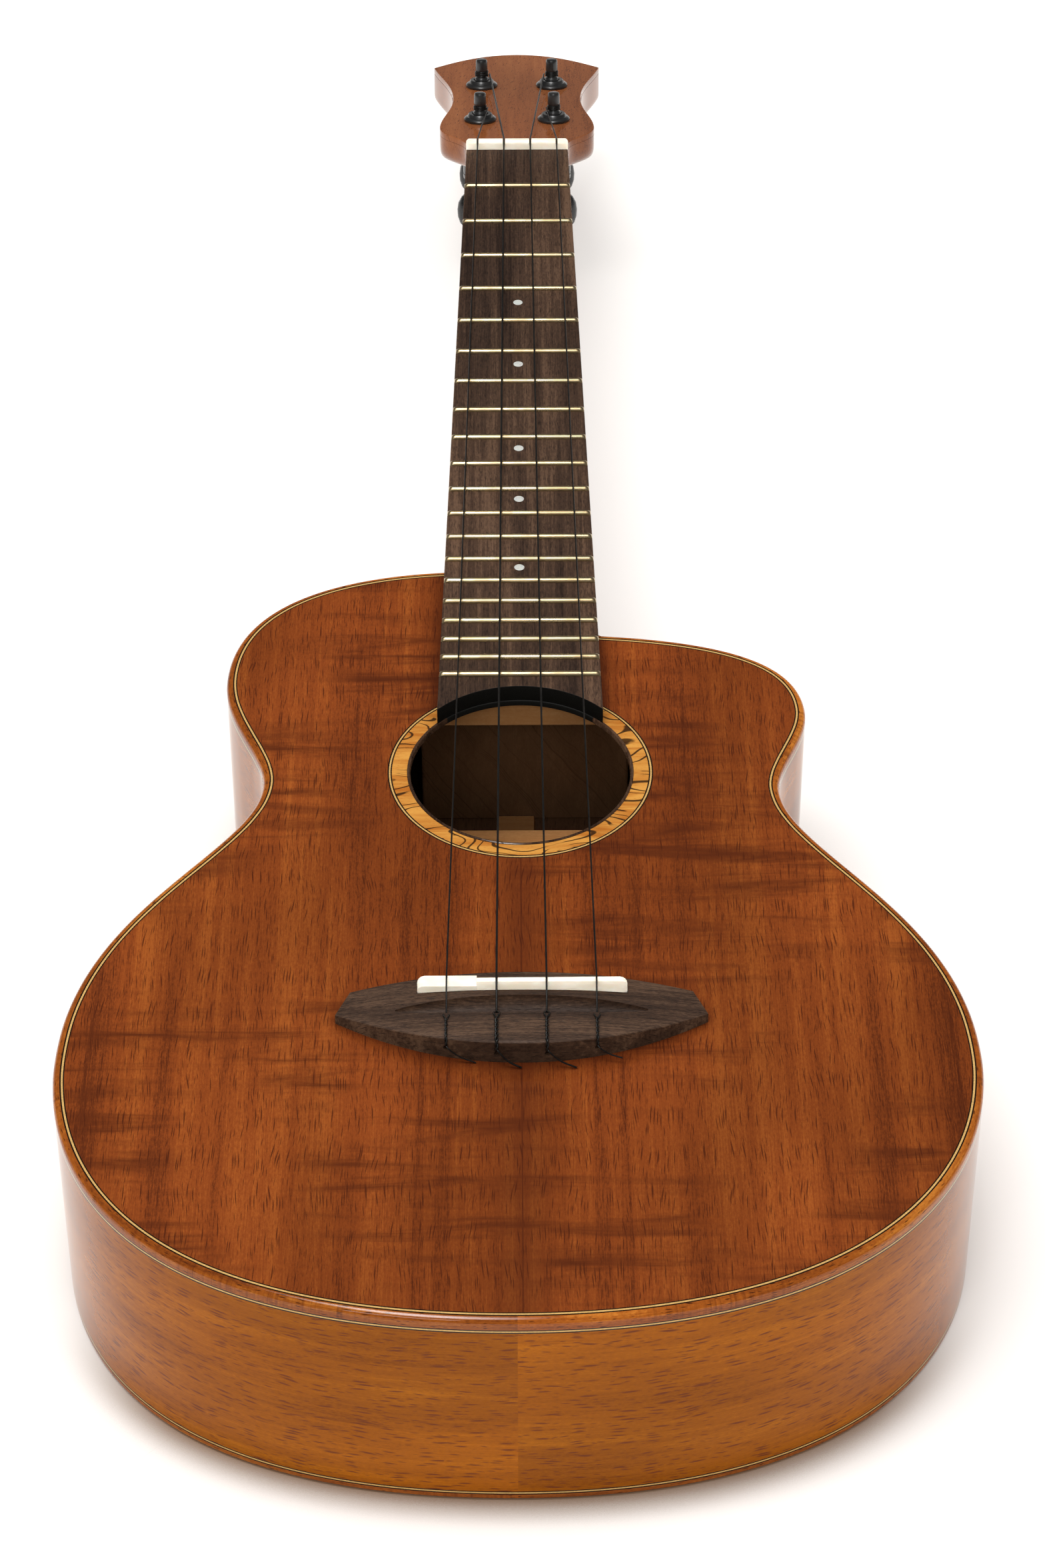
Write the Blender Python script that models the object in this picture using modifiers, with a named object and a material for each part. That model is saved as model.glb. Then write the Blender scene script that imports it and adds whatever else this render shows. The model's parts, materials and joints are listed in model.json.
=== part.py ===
"""Four-string cutaway tenor ukulele, built as an assembly of separate pieces.

Frame: metres, +X to the treble (cutaway) side, +Y from the saddle to the headstock, +Z out of the
soundboard. The origin is on the flat outer face of the back, on the centreline, below the saddle.
"""
import math

import bmesh
import bpy
from mathutils import Matrix, Vector

MM = 0.001
GAP = 0.3          # clearance kept between neighbouring pieces, in millimetres

# ---- driving dimensions, in millimetres -------------------------------------------------------
SCALE = 432.0                # nut to saddle
FRETS = 20
BODY_DEPTH = 68.0
PLATE_TOP = 2.0              # soundboard thickness
PLATE_BACK = 2.2
SIDE = 2.0                   # side thickness
BINDING_WIDTH = 2.2
BINDING_TOP_HEIGHT = 3.2
BINDING_BACK_HEIGHT = 2.2
LINING_WIDTH = 5.0
LINING_HEIGHT = 7.0

TAIL = (-1.4, -114.3)        # plan of the body, outer edge
TREBLE_BOUT = (122.4, -21.2)
TREBLE_WAIST = (74.3, 91.1)
HORN = (83.8, 125.0)
CUT_END = (24.8, 162.3)
BASS_BOUT = (-124.3, -21.4)
BASS_WAIST = (-74.0, 94.0)
SHOULDER = (-86.9, 140.5)
NECK_HALF = 22.4             # half-width of the neck joint
NECK_JOINT_Y = 194.4
HEEL_FOOT = 3.0              # height of the heel's flat end
NECK_FULLNESS = 1.03         # 1 gives half-ellipse sections, more gives fuller ones

HOLE_Y = 98.4                # soundhole
HOLE_R = 31.7
LINER = 1.0
ROSETTE_R = 38.3
ROSETTE_DEPTH = 1.0

BOARD_NUT = 35.6             # fretboard widths at the nut and at the scale's far end
BOARD_SADDLE = 53.3
BOARD_THICK = 5.2
CROWN_HEIGHT = 0.8
CROWN_WIDTH = 2.2
TANG = (0.6, 1.7)
SLOT = (1.2, 2.3)

NUT_LENGTH = 5.0
NUT_WIDTH = 35.8
NUT_TOP = 76.2
PITCH_NUT = 9.25             # string spacing at the nut and at the saddle
PITCH_SADDLE = 13.4
STRING_R = (0.27, 0.34, 0.30, 0.27)
STRING_NUT_Z = 75.55

HEAD_TILT = 14.0
HEAD_START = 437.4           # where the headstock's face leaves the nut
HEAD_FACE_Z = 72.2
HEAD_WOOD = 11.2
HEADPLATE = 2.2
POST_ROWS = ((13.2, 29.6), (12.9, 72.6))   # near and far pegs: half-spacing, distance from HEAD_START

BOARD_TOP = BODY_DEPTH + GAP + BOARD_THICK
NECK_TOP = BODY_DEPTH

# ---- colours ----------------------------------------------------------------------------------
KOA = (0.30, 0.105, 0.028)
KOA_SIDE = (0.38, 0.17, 0.045)
ROSEWOOD = (0.055, 0.036, 0.028)
MAPLE = (0.72, 0.42, 0.13)
SPRUCE = (0.60, 0.42, 0.24)
MAHOGANY = (0.24, 0.10, 0.05)
BONE = (0.88, 0.83, 0.70)
BRASS = (0.80, 0.62, 0.30)
BLACK = (0.012, 0.013, 0.014)
STRING = (0.045, 0.042, 0.038)

FINISH = {
    "gloss_wood": (0.16, 0.0),
    "oiled_wood": (0.50, 0.0),
    "bare_wood": (0.70, 0.0),
    "bone": (0.32, 0.0),
    "metal": (0.25, 1.0),
    "plastic": (0.30, 0.0),
}

ukulele = bpy.data.collections.new("ukulele")
cutters = bpy.data.collections.new("cutters")


def clear_scene():
    for old in list(bpy.data.objects):
        bpy.data.objects.remove(old, do_unlink=True)
    bpy.context.scene.collection.children.link(ukulele)
    bpy.context.scene.collection.children.link(cutters)


# ---- materials and objects --------------------------------------------------------------------
def paint(obj, colour, finish):
    roughness, metallic = FINISH[finish]
    material = bpy.data.materials.new(obj.name)
    material.use_nodes = True
    shader = material.node_tree.nodes["Principled BSDF"]
    shader.inputs["Base Color"].default_value = (*colour, 1.0)
    shader.inputs["Roughness"].default_value = roughness
    shader.inputs["Metallic"].default_value = metallic
    obj.data.materials.append(material)
    return obj


def smooth(obj, degrees=35.0):
    obj.data.shade_smooth()
    obj.data.set_sharp_from_angle(angle=math.radians(degrees))
    return obj


def mesh_object(name, build, collection=ukulele):
    """A mesh object whose bmesh, in millimetres, is filled by build."""
    mesh = bpy.data.meshes.new(name)
    bm = bmesh.new()
    build(bm)
    bmesh.ops.scale(bm, vec=(MM, MM, MM), verts=bm.verts)
    bm.to_mesh(mesh)
    bm.free()
    obj = bpy.data.objects.new(name, mesh)
    collection.objects.link(obj)
    return obj


def as_mesh(obj, collection=ukulele):
    """Replace a curve object, or one with modifiers, by its evaluated and welded mesh."""
    name = obj.name
    depsgraph = bpy.context.evaluated_depsgraph_get()
    mesh = bpy.data.meshes.new_from_object(obj.evaluated_get(depsgraph))
    place = obj.matrix_world.copy()
    bpy.data.objects.remove(obj, do_unlink=True)
    bm = bmesh.new()
    bm.from_mesh(mesh)
    bmesh.ops.remove_doubles(bm, verts=bm.verts, dist=1e-6)
    bmesh.ops.recalc_face_normals(bm, faces=bm.faces)
    bm.to_mesh(mesh)
    bm.free()
    mesh.shade_flat()
    solid = bpy.data.objects.new(name, mesh)
    solid.matrix_world = place
    collection.objects.link(solid)
    return solid


def boolean(obj, tools, operation="DIFFERENCE"):
    """Apply one exact boolean for each tool, then take the tools away."""
    for tool in tools:
        modifier = obj.modifiers.new(operation.lower(), "BOOLEAN")
        modifier.operation = operation
        modifier.solver = "EXACT"
        modifier.object = tool
    bpy.context.view_layer.update()
    solid = as_mesh(obj)
    for tool in tools:
        bpy.data.objects.remove(tool, do_unlink=True)
    return solid


def hide_cutter(obj):
    obj.hide_render = True
    obj.display_type = "WIRE"
    return obj


# ---- shapes -----------------------------------------------------------------------------------
def plate(name, loops, low, high, collection=ukulele):
    """A flat piece between two heights from closed plan loops; inner loops are holes."""
    curve = bpy.data.curves.new(name, "CURVE")
    curve.dimensions = "2D"
    curve.fill_mode = "BOTH"
    curve.extrude = (high - low) / 2 * MM
    for loop in loops:
        spline = curve.splines.new("POLY")
        spline.points.add(len(loop) - 1)
        for point, (x, y) in zip(spline.points, loop):
            point.co = (x * MM, y * MM, 0.0, 1.0)
        spline.use_cyclic_u = True
    obj = bpy.data.objects.new(name, curve)
    obj.location.z = (high + low) / 2 * MM
    collection.objects.link(obj)
    bpy.context.view_layer.update()
    return as_mesh(obj, collection)


def box(name, low, high, collection=ukulele):
    def build(bm):
        bmesh.ops.create_cube(bm, size=1.0)
        size = [b - a for a, b in zip(low, high)]
        middle = [(a + b) / 2 for a, b in zip(low, high)]
        bmesh.ops.scale(bm, vec=size, verts=bm.verts)
        bmesh.ops.translate(bm, vec=middle, verts=bm.verts)
    return mesh_object(name, build, collection)


def rod(name, start, end, radius, segments=12, collection=cutters):
    """A capped cylinder between two points."""
    start, end = Vector(start), Vector(end)
    axis = end - start
    turn = Vector((0, 0, 1)).rotation_difference(axis).to_matrix().to_4x4()

    def build(bm):
        bmesh.ops.create_cone(bm, cap_ends=True, segments=segments, radius1=radius,
                              radius2=radius, depth=axis.length)
        bmesh.ops.transform(bm, matrix=Matrix.Translation((start + end) / 2) @ turn, verts=bm.verts)
    return mesh_object(name, build, collection)


def turned(name, profile, closed, steps, collection=ukulele):
    """A profile of (radius, height), top to bottom, turned about the local Z axis."""
    mesh = bpy.data.meshes.new(name)
    edges = [(i, i + 1) for i in range(len(profile) - 1)]
    if closed:
        edges.append((len(profile) - 1, 0))
    mesh.from_pydata([(r * MM, 0.0, z * MM) for r, z in profile], edges, [])
    obj = bpy.data.objects.new(name, mesh)
    collection.objects.link(obj)
    screw = obj.modifiers.new("turn", "SCREW")
    screw.steps = steps
    screw.render_steps = steps
    screw.use_merge_vertices = True
    screw.merge_threshold = 1e-6
    screw.use_normal_calculate = True
    bpy.context.view_layer.update()
    return as_mesh(obj, collection)


def mitred(path, inset, closed):
    """Move a plan path to its left by inset, with true corners."""
    count = len(path)
    moved = []
    for i, point in enumerate(path):
        before = path[i - 1] if closed or i > 0 else None
        after = path[(i + 1) % count] if closed or i < count - 1 else None
        normals = []
        for a, b in ((before, point), (point, after)):
            if a is not None and b is not None:
                step = Vector(b) - Vector(a)
                step.normalize()
                normals.append(Vector((-step.y, step.x)))
        total = sum(normals, Vector((0.0, 0.0)))
        total *= inset * len(normals) / total.length_squared
        moved.append((point[0] + total.x, point[1] + total.y))
    return moved


def swept(name, path, profile, closed=True):
    """Carry an (inset, height) section round a plan path, mitred at each corner.

    The section stays upright and turns with the path, which no curve bevel does exactly.
    """
    def build(bm):
        rails = [mitred(path, inset, closed) for inset, _ in profile]
        grid = [[bm.verts.new((rail[i][0], rail[i][1], z)) for rail, (_, z) in zip(rails, profile)]
                for i in range(len(path))]
        turns = len(path) if closed else len(path) - 1
        width = len(profile)
        for i in range(turns):
            here, there = grid[i], grid[(i + 1) % len(path)]
            for k in range(width):
                n = (k + 1) % width
                bm.faces.new((here[k], there[k], there[n], here[n]))
        if not closed:
            bm.faces.new(grid[0])
            bm.faces.new(reversed(grid[-1]))
        bmesh.ops.recalc_face_normals(bm, faces=bm.faces)
    return mesh_object(name, build)


def lofted(name, sections, collection=ukulele):
    """Skin unlike closed sections, each a list of 3-D points, and cap both ends."""
    def build(bm):
        rings = [[bm.verts.new(point) for point in section] for section in sections]
        width = len(rings[0])
        for here, there in zip(rings, rings[1:]):
            for k in range(width):
                n = (k + 1) % width
                bm.faces.new((here[k], there[k], there[n], here[n]))
        bm.faces.new(rings[0])
        bm.faces.new(reversed(rings[-1]))
        bmesh.ops.recalc_face_normals(bm, faces=bm.faces)
    return mesh_object(name, build, collection)


def bezier(start, start_handle, end_handle, end, count):
    """Points along a cubic, with its start and without its end."""
    points = []
    for i in range(count):
        t = i / count
        weights = ((1 - t) ** 3, 3 * (1 - t) ** 2 * t, 3 * (1 - t) * t * t, t ** 3)
        knots = (start, start_handle, end_handle, end)
        points.append(tuple(sum(w * k[axis] for w, k in zip(weights, knots)) for axis in (0, 1)))
    return points


def arc(centre, radius, start, end, count):
    """Points of a plan arc from one angle to another, in degrees, both ends included."""
    angles = [math.radians(start + (end - start) * i / (count - 1)) for i in range(count)]
    return [(centre[0] + radius * math.cos(a), centre[1] + radius * math.sin(a)) for a in angles]


# ---- plan of the body -------------------------------------------------------------------------
def treble_edge():
    """Outer edge from the tail to the neck joint, round the cutaway."""
    tx, ty = TAIL
    bx, by = TREBLE_BOUT
    wx, wy = TREBLE_WAIST
    hx, hy = HORN
    cx, cy = CUT_END
    path = bezier(TAIL, (tx + 91.4, ty), (bx, by - 43.9), TREBLE_BOUT, 13)
    path += bezier(TREBLE_BOUT, (bx, by + 59.8), (wx, wy - 27.9), TREBLE_WAIST, 11)
    path += bezier(TREBLE_WAIST, (wx, wy + 10.2), (hx, hy - 11.2), HORN, 6)
    path += bezier(HORN, (hx, hy + 24.7), (cx + 35.0, cy - 3.2), CUT_END, 11)
    path += [CUT_END, (23.0, 163.4), (NECK_HALF, 165.8)]
    return path


def bass_edge():
    """Outer edge from the neck joint back to the tail, over the plain shoulder."""
    tx, ty = TAIL
    bx, by = BASS_BOUT
    wx, wy = BASS_WAIST
    sx, sy = SHOULDER
    top = NECK_JOINT_Y
    path = bezier((-14.0, top), (-26.3, top + 0.3), (sx, sy + 52.5), SHOULDER, 13)
    path += bezier(SHOULDER, (sx, sy - 18.4), (wx, wy + 12.9), BASS_WAIST, 6)
    path += bezier(BASS_WAIST, (wx, wy - 29.7), (bx, by + 62.7), BASS_BOUT, 11)
    path += bezier(BASS_BOUT, (bx, by - 42.2), (tx - 97.3, ty), TAIL, 13)
    return path


CORNER = (NECK_HALF, NECK_JOINT_Y)
OUTLINE = treble_edge() + [CORNER] + bass_edge()


def make_body():
    top, back = BODY_DEPTH, 0.0
    inner = BINDING_WIDTH + GAP

    board = plate("soundboard", [mitred(OUTLINE, inner, True)], top - PLATE_TOP, top)
    opening = turned("opening", [(ROSETTE_R + GAP, 3.0), (ROSETTE_R + GAP, -ROSETTE_DEPTH - GAP),
                                 (HOLE_R + LINER + GAP, -ROSETTE_DEPTH - GAP),
                                 (HOLE_R + LINER + GAP, -6.0), (0.0, -6.0), (0.0, 3.0)],
                     True, 48, cutters)
    opening.location = Vector((0.0, HOLE_Y, top)) * MM
    board = boolean(board, [hide_cutter(opening)])
    paint(board, KOA, "gloss_wood")

    paint(plate("back", [mitred(OUTLINE, inner, True)], back, PLATE_BACK), KOA, "gloss_wood")

    side_low = BINDING_BACK_HEIGHT + GAP
    side_high = top - BINDING_TOP_HEIGHT - GAP
    section = [(0.0, side_low), (0.0, side_high), (SIDE, side_high), (SIDE, side_low)]
    half = GAP / 2
    treble = treble_edge()
    treble[0] = (TAIL[0] + half, TAIL[1])
    treble.append((NECK_HALF, NECK_JOINT_Y - SIDE - GAP))
    paint(smooth(swept("side_treble", treble, section, False)), KOA_SIDE, "gloss_wood")
    bass = [CORNER] + bass_edge() + [(TAIL[0] - half, TAIL[1])]
    paint(smooth(swept("side_bass", bass, section, False)), KOA_SIDE, "gloss_wood")

    rounding = 1.8
    low = top - BINDING_TOP_HEIGHT
    section = [(0.0, low), (0.0, top - rounding), (0.24 * rounding, top - 0.43 * rounding),
               (rounding, top), (BINDING_WIDTH, top), (BINDING_WIDTH, low)]
    paint(smooth(swept("binding_top", OUTLINE, section), 50), KOA, "gloss_wood")
    ease = 0.6
    section = [(0.0, ease), (0.0, BINDING_BACK_HEIGHT), (BINDING_WIDTH, BINDING_BACK_HEIGHT),
               (BINDING_WIDTH, 0.0), (ease, 0.0)]
    paint(smooth(swept("binding_back", OUTLINE, section), 50), KOA, "gloss_wood")

    near, far = inner + GAP, inner + GAP + LINING_WIDTH
    under = top - PLATE_TOP - GAP
    over = PLATE_BACK + GAP
    for name, foot, edge in (("lining_top", under, under - LINING_HEIGHT),
                             ("lining_back", over, over + LINING_HEIGHT)):
        section = [(near, foot), (near, edge), (far - 3.2, edge), (far, foot)]
        paint(swept(name, OUTLINE, section), SPRUCE, "bare_wood")


def make_rosette():
    place = Vector((0.0, HOLE_Y, BODY_DEPTH)) * MM
    inside = HOLE_R + LINER + GAP
    ring = turned("rosette", [(ROSETTE_R, 0.0), (ROSETTE_R, -ROSETTE_DEPTH), (inside, -ROSETTE_DEPTH),
                              (inside, 0.0)], True, 64)
    ring.location = place
    paint(smooth(ring), MAPLE, "gloss_wood")
    outer = HOLE_R + LINER
    liner = turned("soundhole_ring", [(outer - 0.2, 0.3), (outer, 0.0), (outer, -2.2), (HOLE_R, -2.2),
                                      (HOLE_R, 0.0), (HOLE_R + 0.3, 0.3)], True, 48)
    liner.location = place
    paint(smooth(liner), ROSEWOOD, "gloss_wood")


# ---- inside the body --------------------------------------------------------------------------
def upright(name, side_view, x_low, x_high):
    """A block with a (y, z) side view, running across the body."""
    block = plate(name, [side_view], x_low, x_high)
    # local X, Y and Z become Y, Z and X
    turn = Matrix(((0, 0, 1, 0), (1, 0, 0, 0), (0, 1, 0, 0), (0, 0, 0, 1)))
    block.data.transform(turn @ block.matrix_world)
    block.matrix_world = Matrix.Identity(4)
    return block


def make_inside():
    reach = BINDING_WIDTH + 3 * GAP + LINING_WIDTH       # how far in the linings come
    floor, roof = PLATE_BACK + GAP, BODY_DEPTH - PLATE_TOP - GAP
    step_low, step_high = floor + LINING_HEIGHT + GAP, roof - LINING_HEIGHT - GAP
    wall = SIDE + GAP

    end = TAIL[1]
    tail, outer = end + wall + 1.1, end + reach + 1.3
    view = [(end + 22.0, floor), (end + 22.0, roof), (outer, roof), (outer, step_high),
            (tail, step_high), (tail, step_low), (outer, step_low), (outer, floor)]
    paint(upright("tail_block", view, TAIL[0] - 20.0, TAIL[0] + 20.0), MAHOGANY, "bare_wood")

    head = NECK_JOINT_Y - wall - 1.2
    inner = NECK_JOINT_Y - reach - 1.2
    view = [(158.0, floor), (inner, floor), (inner, step_low), (head, step_low), (head, step_high),
            (inner, step_high), (inner, roof), (158.0, roof)]
    paint(upright("neck_block", view, -30.0, NECK_HALF - reach - GAP), MAHOGANY, "bare_wood")

    def brace(name, y, half_length, width, height, plate_side):
        low, high = (roof - height, roof) if plate_side == "top" else (floor, floor + height)
        return box(name, (-half_length, y - width / 2, low), (half_length, y + width / 2, high))

    paint(brace("brace_upper", 139.0, 64.0, 8.0, 10.6, "top"), SPRUCE, "bare_wood")
    paint(brace("brace_lower", 56.0, 74.0, 7.0, 12.0, "top"), SPRUCE, "bare_wood")
    paint(brace("back_brace", 134.7, 66.0, 8.0, 8.0, "back"), SPRUCE, "bare_wood")

    paint(box("bridge_plate", (-30.0, -20.0, roof - 2.0), (30.0, 12.0, roof)), MAHOGANY, "bare_wood")
    for name, side in (("fan_brace_bass", -1), ("fan_brace_treble", 1)):
        plan = [(side * 32.0, 46.0), (side * 38.0, 46.0), (side * 52.0, -74.0), (side * 46.0, -74.0)]
        if side < 0:
            plan.reverse()
        paint(plate(name, [plan], roof - 7.0, roof), SPRUCE, "bare_wood")


# ---- neck, fretboard and headstock ------------------------------------------------------------
TILT = math.radians(HEAD_TILT)
HEAD_TURN = Matrix.Rotation(-TILT, 4, "X")


def on_head(x, along, out):
    """World point from the headstock's own frame: across, along and out of its face."""
    local = HEAD_TURN @ Vector((x, along, out))
    return Vector((local.x, local.y + HEAD_START, local.z + HEAD_FACE_Z))


def head_plan(inset, start):
    """Outline of the headstock, seen square to its face: flared end, waist and two ears."""
    half = bezier((19.2, start), (23.0, start + 5.0), (27.6, 13.0), (27.6, 21.0), 5)
    half += bezier((27.6, 21.0), (27.6, 33.0), (23.3, 42.0), (23.3, 56.0), 6)
    half += bezier((23.3, 56.0), (23.3, 74.0), (28.4, 84.0), (30.8, 97.2), 7)
    half += bezier((30.8, 97.2), (24.0, 104.0), (14.0, 114.6), (0.0, 114.6), 6)
    plan = half + [(0.0, 114.6)] + [(-x, y) for x, y in reversed(half)]
    return mitred(plan, inset, True)


def neck_half(y):
    return 22.2 - 4.7 * (y - NECK_JOINT_Y) / (HEAD_START - NECK_JOINT_Y)


def neck_depth(y):
    """Depth of shaft and heel below the fretboard: a slow taper, and a heel that falls away fast."""
    past = y - NECK_JOINT_Y - GAP
    shaft = 16.9 - 2.7 * past / (HEAD_START - NECK_JOINT_Y)
    return shaft + 57.5 * math.exp(-(past / 12.5) ** 1.7)


def neck_sections():
    """Sections of shaft and heel: a flat top and a rounded, tapering underside."""
    def section(y, half, depth, top):
        ring = []
        for i in range(15):
            angle = math.pi * i / 14
            c, s = math.cos(angle), math.sin(angle)
            across = math.copysign(abs(c) ** (1 / NECK_FULLNESS), c)
            ring.append((half * across, y, top - depth * abs(s) ** (1 / NECK_FULLNESS)))
        return ring

    start, end, count = NECK_JOINT_Y + GAP, HEAD_START + 1.0, 12
    stations = [start + (end - start) * (i / count) ** 2.2 for i in range(count + 1)]
    rings = [section(y, neck_half(y), neck_depth(y), NECK_TOP) for y in stations]
    # the shaft runs on into the headstock and fades under its face
    rings.append(section(446.0, 15.5, 12.0, NECK_TOP - 3.0))
    rings.append(section(456.0, 11.0, 5.0, NECK_TOP - 8.5))
    return rings


def make_neck():
    neck = lofted("neck", neck_sections())
    wood = plate("headstock_wood", [head_plan(0.0, 9.0)], -HEADPLATE - GAP - HEAD_WOOD,
                 -HEADPLATE - GAP, cutters)
    wood.matrix_world = Matrix.Translation(on_head(0, 0, 0) * MM) @ HEAD_TURN @ wood.matrix_world
    root = box("headstock_root", (-18.9, HEAD_START, 60.0), (18.9, HEAD_START + 12.0, 65.0), cutters)
    neck = boolean(neck, [wood, root], "UNION")
    tools = [box("nut_seat", (-40, 425.0, NECK_TOP), (40, HEAD_START, 90.0), cutters),
             box("heel_cap", (-40, 180.0, -20.0), (40, 230.0, HEEL_FOOT), cutters)]
    for name, x, along in peg_places():
        tools.append(rod("hole_" + name, on_head(x, along, 4), on_head(x, along, -25), 4.6, 16))
    neck = boolean(neck, [hide_cutter(tool) for tool in tools])
    paint(smooth(neck, 40), KOA, "gloss_wood")

    front = 4.0
    sheet = plate("headplate", [head_plan(0.15, front)], -HEADPLATE, 0.0)
    sheet.matrix_world = Matrix.Translation(on_head(0, 0, 0) * MM) @ HEAD_TURN @ sheet.matrix_world
    bpy.context.view_layer.update()
    tools = [rod("hole_" + name, on_head(x, along, 4), on_head(x, along, -8), 4.6, 16)
             for name, x, along in peg_places()]
    sheet = boolean(sheet, [hide_cutter(tool) for tool in tools])
    paint(smooth(sheet, 40), KOA, "gloss_wood")


def board_half(y):
    return (BOARD_NUT + (BOARD_SADDLE - BOARD_NUT) * (SCALE - y) / SCALE) / 2


def fret_y(number):
    return SCALE * 2 ** (-number / 12)


def make_fretboard():
    bottom = BODY_DEPTH + GAP
    slot_width, slot_depth = SLOT
    view = [(100.0, bottom), (SCALE, bottom), (SCALE, BOARD_TOP)]
    for number in range(1, FRETS + 1):
        y = fret_y(number)
        view += [(y + slot_width / 2, BOARD_TOP), (y + slot_width / 2, BOARD_TOP - slot_depth),
                 (y - slot_width / 2, BOARD_TOP - slot_depth), (y - slot_width / 2, BOARD_TOP)]
    view.append((100.0, BOARD_TOP))
    board = upright("fretboard", view, -30.0, 30.0)

    # plan: tapered sides, and an end scooped to the soundhole's own radius
    radius = HOLE_R + 0.4
    corner = 24.2
    sweep = math.degrees(math.asin(corner / radius))
    end = arc((0.0, HOLE_Y), radius, 90.0 - sweep, 90.0 + sweep, 21)
    y_end = end[0][1]
    plan = [(board_half(SCALE), SCALE + 1.0), (-board_half(SCALE), SCALE + 1.0),
            (-board_half(y_end), y_end)] + list(reversed(end)) + [(board_half(y_end), y_end)]
    trim = plate("plan", [plan], bottom - 3.0, BOARD_TOP + 3.0, cutters)
    board = boolean(board, [hide_cutter(trim)], "INTERSECT")
    paint(board, ROSEWOOD, "oiled_wood")


def make_frets():
    tang_width, tang_depth = TANG
    foot = BOARD_TOP + GAP
    half = CROWN_WIDTH / 2
    for number in range(1, FRETS + 1):
        y = fret_y(number)
        view = [(y - tang_width / 2, foot), (y - tang_width / 2, foot - tang_depth),
                (y + tang_width / 2, foot - tang_depth), (y + tang_width / 2, foot)]
        for angle in (0, 38, 68, 112, 142, 180):
            turn = math.radians(angle)
            view.append((y + half * math.cos(turn), foot + CROWN_HEIGHT * math.sin(turn)))
        reach = board_half(y) - 0.2
        name = "fret_%02d" % number
        paint(smooth(upright(name, view, -reach, reach)), BRASS, "metal")


def string_x(number, pitch):
    return (number - 1.5) * pitch


def make_nut():
    low = NECK_TOP + GAP
    start, end = SCALE + GAP, SCALE + NUT_LENGTH
    view = [(start, low), (end, low), (end, NUT_TOP - 1.4), (end - 1.4, NUT_TOP - 0.3),
            (start + 1.6, NUT_TOP), (start + 0.3, NUT_TOP - 0.3), (start, NUT_TOP - 0.8)]
    nut = upright("nut", view, -NUT_WIDTH / 2, NUT_WIDTH / 2)
    tools = []
    for number in range(4):
        x = string_x(number, PITCH_NUT)
        half = STRING_R[number] + GAP
        floor = STRING_NUT_Z - half
        tools.append(box("slot", (x - half, start - 3, floor), (x + half, end + 3, floor + 6), cutters))
    nut = boolean(nut, [hide_cutter(tool) for tool in tools])
    paint(nut, BONE, "bone")


# ---- bridge and saddle ------------------------------------------------------------------------
BRIDGE_BOTTOM = BODY_DEPTH + GAP
BRIDGE_HEIGHT = 7.2
TIP_HEIGHT = 3.2
HOLE_IN = (-10.2, 72.9)      # string hole: its mouth in the scoop and its mouth in the rear face
HOLE_OUT = (-24.5, 70.6)
SADDLE_Y = (-1.8, 1.0)
SADDLE_X = (-28.0, 28.4)
SADDLE_TOP = 78.2
SADDLE_FOOT = 71.5


def make_bridge():
    front = bezier((46.2, 1.2), (30.0, 4.0), (14.0, 5.6), (0.0, 5.6), 8)
    rear = bezier((50.0, -5.2), (36.0, -15.5), (16.0, -22.4), (0.0, -22.4), 9)
    half = list(reversed(rear)) + front
    plan = half + [(0.0, 5.6)] + [(-x, y) for x, y in reversed(half)]
    plan.append((0.0, -22.4))
    top = BRIDGE_BOTTOM + BRIDGE_HEIGHT
    block = plate("bridge", [plan], BRIDGE_BOTTOM, top + 1.0)

    # a shallow arch along the bridge, from full height in the middle to thin tips
    drop = BRIDGE_HEIGHT - TIP_HEIGHT
    radius = (50.0 ** 2 + drop ** 2) / (2 * drop)
    sweep = math.degrees(math.asin(56.0 / radius))
    crown = arc((0.0, top - radius), radius, 90.0 - sweep, 90.0 + sweep, 17)
    view = crown + [(-56.0, BRIDGE_BOTTOM - 4.0), (56.0, BRIDGE_BOTTOM - 4.0)]
    arch = plate("arch", [view], -12.0, 30.0, cutters)
    arch.data.transform(Matrix.Rotation(math.pi / 2, 4, "X") @ arch.matrix_world)
    arch.matrix_world = Matrix.Identity(4)
    block = boolean(block, [hide_cutter(arch)], "INTERSECT")

    def scoop_shape(bm):
        bmesh.ops.create_uvsphere(bm, u_segments=28, v_segments=12, radius=1.0)
        bmesh.ops.scale(bm, vec=(34.5, 3.6, 4.6), verts=bm.verts)
        bmesh.ops.translate(bm, vec=(0.0, -7.5, top + 0.6), verts=bm.verts)
    tools = [mesh_object("scoop", scoop_shape, cutters)]
    tools.append(box("saddle_slot", (SADDLE_X[0] - GAP, SADDLE_Y[0] - GAP, SADDLE_FOOT - GAP),
                     (SADDLE_X[1] + GAP, SADDLE_Y[1] + GAP, top + 5.0), cutters))
    for number in range(4):
        x = string_x(number, PITCH_SADDLE)
        run = Vector((0.0, HOLE_IN[0] - HOLE_OUT[0], HOLE_IN[1] - HOLE_OUT[1]))
        mouth = Vector((x, HOLE_IN[0], HOLE_IN[1]))
        tools.append(rod("string_hole", mouth - 1.25 * run, mouth + 0.12 * run, 0.95, 10))
    block = boolean(block, [hide_cutter(tool) for tool in tools])
    paint(smooth(block, 30), ROSEWOOD, "oiled_wood")


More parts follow.
